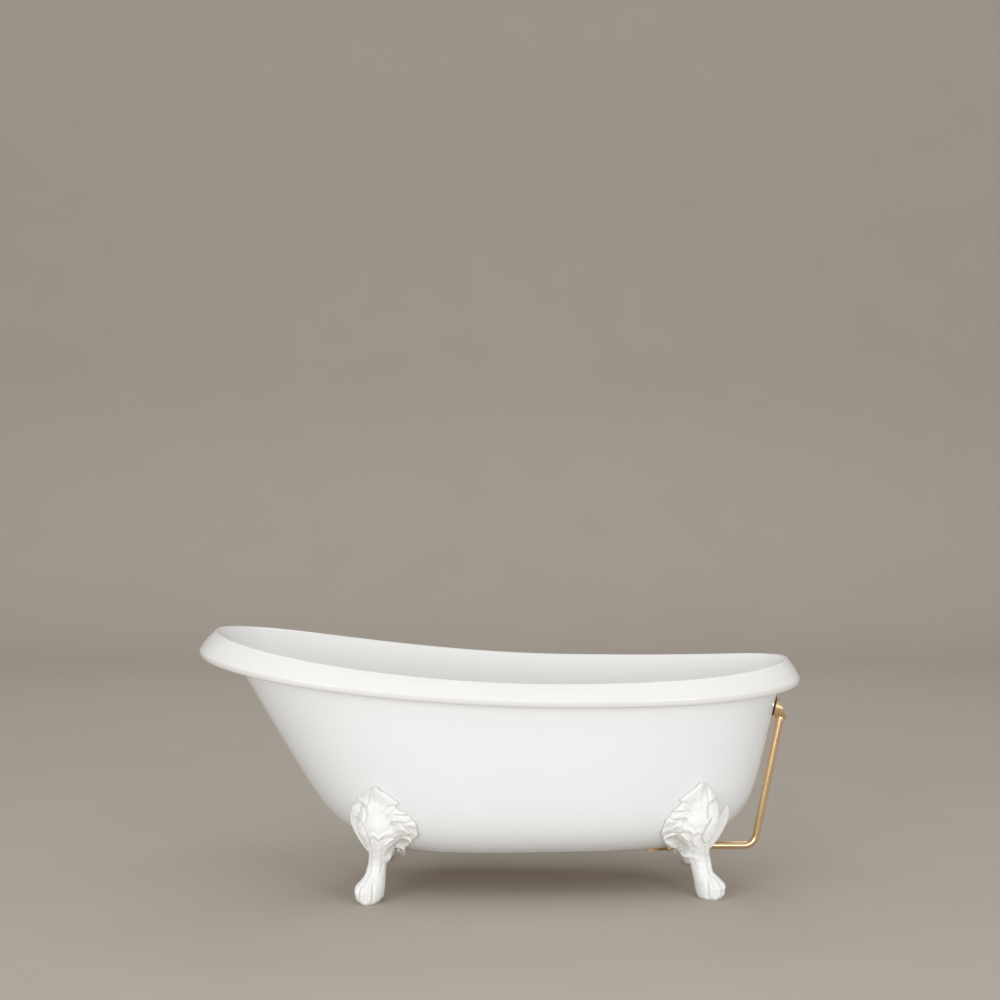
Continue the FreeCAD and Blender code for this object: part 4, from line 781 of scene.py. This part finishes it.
# %% Make the four feet
for name in FEET:
    near = rough_foot(name)
    carve(near, name)
    apply_modifier(near, "SMOOTH", factor=0.5, iterations=1)
    ops.object.shade_smooth()
    far = near.copy()
    far.data = near.data.copy()
    bpy.context.collection.objects.link(far)
    alone(far)
    far.scale = (1, -1, 1)
    ops.object.transform_apply(location=True, rotation=True, scale=True)
    ops.object.mode_set(mode="EDIT")
    ops.mesh.select_all(action="SELECT")
    ops.mesh.normals_make_consistent(inside=False)
    ops.object.mode_set(mode="OBJECT")
    for side, foot in (("near", near), ("far", far)):
        foot.name = foot.data.name = "carved_foot_%s_%s" % (name, side)
        finish_with(foot, enamel)
        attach(foot, "bath")
        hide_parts("claw_foot_%s_%s" % (name, side))
    print(name, "foot:", len(near.data.polygons), "faces")

# %% [markdown]
# ## Smooth copies of turned and cast pieces
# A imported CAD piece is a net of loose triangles, so its curves show small facets in a mirror
# finish. A copy of it is merged into one surface, shaded smooth up to a chosen angle, and given
# normals weighted by face size, which keeps its flats flat. The copy then stands for the CAD piece.

# %% Copy, merge and smooth
def smooth_copy(name, node, body, material, angle):
    piece = merged_copy(node)
    piece.name = piece.data.name = name
    ops.object.shade_smooth_by_angle(angle=math.radians(angle))
    apply_modifier(piece, "WEIGHTED_NORMAL", keep_sharp=True)
    finish_with(piece, material)
    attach(piece, body)
    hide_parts(node)


PLATED = {
    "waste_strainer_ring": ("waste_flange", "bath", 32),
    "waste_pipe_nut": ("pipe_nut", "bath", 32),
    "overflow_tube": ("overflow_pipe", "bath", 30),
    "overflow_tail_elbow": ("overflow_elbow", "bath", 32),
    "overflow_tube_collar": ("overflow_collar", "bath", 32),
    "overflow_face": ("overflow_rosette", "bath", 32),
    "plug_dome": ("plug_cap", "plug", 32),
    "plug_ring": ("plug_eye", "plug", 40),
    "anchor_lug": ("chain_anchor", "bath", 40),
    "coupling_at_plug": ("chain_coupling_plug", "plug", 40),
    "coupling_at_anchor": ("chain_coupling_anchor", "bath", 40),
}
for new_name, (node, body, angle) in PLATED.items():
    smooth_copy(new_name, node, body, plated, angle)
print("smooth plated pieces:", len(PLATED))

# %% [markdown]
# ## Pieces that keep their CAD form
# Gaskets, washers, bolts, the board and the blocks are plain turned or sawn parts, and mostly out
# of sight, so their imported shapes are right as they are. They only need their real finishes.

# %% Finishes for the carried pieces
CARRIED = {
    "waste_top_gasket": rubber,
    "waste_body_gasket": rubber,
    "overflow_inner_gasket": rubber,
    "overflow_outer_gasket": rubber,
    "overflow_packer": rubber,
    "plug_seal": rubber,
    "pipe_olive": insert_brass,
    "strainer_screw": plated,
    "overflow_screw": plated,
    "waste_body": cast_brass,
    "foot_inserts": insert_brass,
    "foot_bolts": zinc,
    "foot_washers": zinc,
    "base_board": chipboard,
    "foot_block_head_near": chipboard,
    "foot_block_head_far": chipboard,
    "foot_block_tap_near": chipboard,
    "foot_block_tap_far": chipboard,
}
for node, material in CARRIED.items():
    for place in nodes[node].material_slots:
        place.material = material
    if not nodes[node].material_slots:
        finish_with(nodes[node], material)
print("carried pieces:", len(CARRIED))

# %% [markdown]
# ## The ball chain
# A plug chain is hollow balls strung on short wires, so it is limp: it hangs straight down from
# both ends and turns in one small loop. Its line is a NURBS spline through air from the plug's
# coupling, down along the wall, round the loop and up to the lug under the overflow face. The
# balls are set along that line at their true pitch, over one thin wire.

# %% Line of the chain
CHAIN = [
    (732.6, 0, 489.1), (732.6, -1.2, 440.9), (732.6, -3.2, 392.7), (725.1, -5.6, 344.5),
    (714.9, -7.6, 305.9), (705.3, -8.7, 279.3), (698.0, -9.0, 263.7), (692.3, -9.0, 253.3),
    (689.1, -3.7, 248.0), (689.1, 3.7, 248.0), (692.3, 9.0, 253.3), (696.7, 8.6, 261.2),
    (703.2, 8.4, 274.4), (711.9, 7.3, 296.8), (721.5, 5.4, 329.4), (730.6, 3.1, 370.0),
    (738.3, 1.1, 410.7), (742.1, 0, 451.2),
]


def nurbs_line(name, points, resolution):
    """A NURBS curve of order 3 that starts and ends at its end points."""
    data = bpy.data.curves.new(name, "CURVE")
    data.dimensions = "3D"
    data.resolution_u = resolution
    spline = data.splines.new("NURBS")
    spline.points.add(len(points) - 1)
    for control, point in zip(spline.points, points):
        control.co = (*(Vector(point) * MM), 1)
    spline.order_u = 3
    spline.use_endpoint_u = True
    piece = bpy.data.objects.new(name, data)
    bpy.context.collection.objects.link(piece)
    return piece


chain_line = nurbs_line("chain_line", CHAIN, 24)
bpy.context.view_layer.update()
read = bpy.data.meshes.new_from_object(chain_line.evaluated_get(bpy.context.evaluated_depsgraph_get()))
path = [vert.co.copy() for vert in read.vertices]
spans = [(b - a).length for a, b in zip(path, path[1:])]
chain_length = sum(spans)
print("chain:", len(path), "points,", round(chain_length, 4), "m")

# %% [markdown]
# One ball is a small icosphere, smooth shaded, and every other ball is a copy of it with its own
# mesh. The balls are 2.4 mm across and sit 3.2 mm apart, so the wire between them just shows.

# %% Balls and wire
BALL, PITCH, WIRE = 2.4, 3.2, 0.8


def along_line(points, lengths, distance):
    """The point at this distance along a line of points."""
    for start, end, length in zip(points, points[1:], lengths):
        if distance <= length:
            return start.lerp(end, distance / length)
        distance -= length
    return points[-1]


chain_line.data.bevel_depth = WIRE / 2 * MM
chain_line.data.bevel_resolution = 1
alone(chain_line)
ops.object.convert(target="MESH")
chain = bpy.context.object
deselect_all()
ops.mesh.primitive_ico_sphere_add(subdivisions=2, radius=BALL / 2 * MM)
ball = bpy.context.object
ops.object.shade_smooth()
count = int(chain_length / (PITCH * MM))
step = (chain_length - BALL * MM) / (count - 1)
balls = []
for i in range(count):
    bead = ball.copy()
    bead.data = ball.data.copy()
    bead.location = along_line(path, spans, BALL / 2 * MM + i * step)
    bpy.context.collection.objects.link(bead)
    balls.append(bead)
alone(chain)
for bead in balls:
    bead.select_set(True)
ops.object.join()
bpy.data.objects.remove(ball)
ops.object.transform_apply(location=True, rotation=True, scale=True)
chain.name = chain.data.name = "ball_chain_of_plug"
finish_with(chain, plated)
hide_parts("ball_chain")
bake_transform(chain, "bath", "plug", start=(0.7421, 0, 0.4514), end=(0.7222, 0, 0.4580))
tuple(path[0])
print("balls:", count, "at", round(step / MM, 2), "mm")

# %% [markdown]
# ## Floor and backdrop
# The set is a warm grey sweep: a floor that curves up into a wall without a corner, as a paper roll
# does. It is an extruded edge, turned a little at each of twelve steps. These sizes are metres.

# %% Paper sweep
PAPER_WIDE, PAPER_DEEP, PAPER_MIDDLE = 16, 12, -1
BEND_RADIUS, BEND_STEPS, PAPER_UP = 1.6, 12, 6


def paper_roll():
    material, tree, shader = new_material("warm_grey_paper")
    place = add_node(tree, "ShaderNodeTexCoord").outputs["Object"]
    fibre = add_node(tree, "ShaderNodeTexNoise", Vector=place, Scale=3.0, Detail=3.0)
    tint = add_node(tree, "ShaderNodeMix", {"data_type": "RGBA"}, _0=fibre.outputs["Fac"],
                    _6=linear("#B8AFA3"), _7=linear("#BDB4A8"))
    tree.links.new(tint.outputs[2], shader.inputs["Base Color"])
    shader.inputs["Roughness"].default_value = 0.9
    shader.inputs["Specular IOR Level"].default_value = 0.1
    return material


deselect_all()
ops.mesh.primitive_plane_add(size=1, location=(0, PAPER_MIDDLE, 0))
sweep = bpy.context.object
sweep.scale = (PAPER_WIDE, PAPER_DEEP, 1)
ops.object.transform_apply(location=True, rotation=True, scale=True)
ops.object.mode_set(mode="EDIT")
ops.mesh.select_all(action="DESELECT")
form = bmesh.from_edit_mesh(sweep.data)
for edge in form.edges:
    edge.select = all(vert.co.y > 0 for vert in edge.verts)
run = 2 * BEND_RADIUS * math.sin(math.radians(90 / BEND_STEPS / 2))
for i in range(BEND_STEPS):
    turn = math.radians(90 * (i + 0.5) / BEND_STEPS)
    ops.mesh.extrude_edges_move(
        TRANSFORM_OT_translate={"value": (0, run * math.cos(turn), run * math.sin(turn))})
ops.mesh.extrude_edges_move(TRANSFORM_OT_translate={"value": (0, 0, PAPER_UP)})
ops.mesh.select_all(action="SELECT")
ops.mesh.normals_make_consistent(inside=False)
ops.object.mode_set(mode="OBJECT")
ops.object.shade_smooth()
sweep.name = "paper_sweep"
finish_with(sweep, paper_roll())
print("sweep:", len(sweep.data.polygons), "faces")

# %% [markdown]
# ## Lamps and room
# Soft lamps and an even white room light the tub from all round, most from the front, so that the
# inside stays a shade greyer than the rim. One lamp behind the bath draws a light edge on the far
# side of the rim, and keeps the back of the bath from going dull.

# %% Lamps and world
def soft_lamp(name, place, aim, size, watts):
    data = bpy.data.lights.new(name, "AREA")
    data.shape, data.size, data.size_y, data.energy = "RECTANGLE", size[0], size[1], watts
    data.color = (0.95, 0.98, 1.0)
    lamp = bpy.data.objects.new(name, data)
    bpy.context.collection.objects.link(lamp)
    lamp.location = place
    lamp.rotation_euler = (Vector(aim) - Vector(place)).to_track_quat("-Z", "Y").to_euler()


soft_lamp("overhead", (0, -0.4, 3.8), (0, 0, 0.3), (3.6, 2.0), 8)
soft_lamp("front_left", (-3.2, -5.4, 1.5), (0, 0, 0.4), (2.4, 2.0), 96)
soft_lamp("front_right", (3.4, -5.0, 1.4), (0, 0, 0.4), (2.0, 2.0), 68)
soft_lamp("low_front", (0, -6.2, 0.8), (0, 0, 0.2), (3.2, 1.0), 55)
soft_lamp("behind", (0, 4.2, 4.8), (0, 0, 0.4), (3.0, 1.6), 40)
world = bpy.context.scene.world or bpy.data.worlds.new("room")
bpy.context.scene.world = world
world.use_nodes = True
world.node_tree.nodes["Background"].inputs["Color"].default_value = linear("#F7F8FA")
world.node_tree.nodes["Background"].inputs["Strength"].default_value = 0.68

# %% [markdown]
# ## Camera
# The camera stands level, as for an elevation drawing, 5.5 m in front and 1.3 m up, and its small
# shift puts the tub in the lower half of the frame.

# %% Camera
eye = bpy.data.cameras.new("elevation")
eye.sensor_width, eye.lens, eye.shift_y, eye.clip_end = 36.0, 69.66, -0.08, 100
camera = bpy.data.objects.new("elevation", eye)
bpy.context.collection.objects.link(camera)
camera.location = (0, -5.5, 1.3046)
camera.rotation_euler = (math.radians(90), 0, 0)
scene = bpy.context.scene
scene.camera = camera
scene.view_settings.view_transform = "Standard"
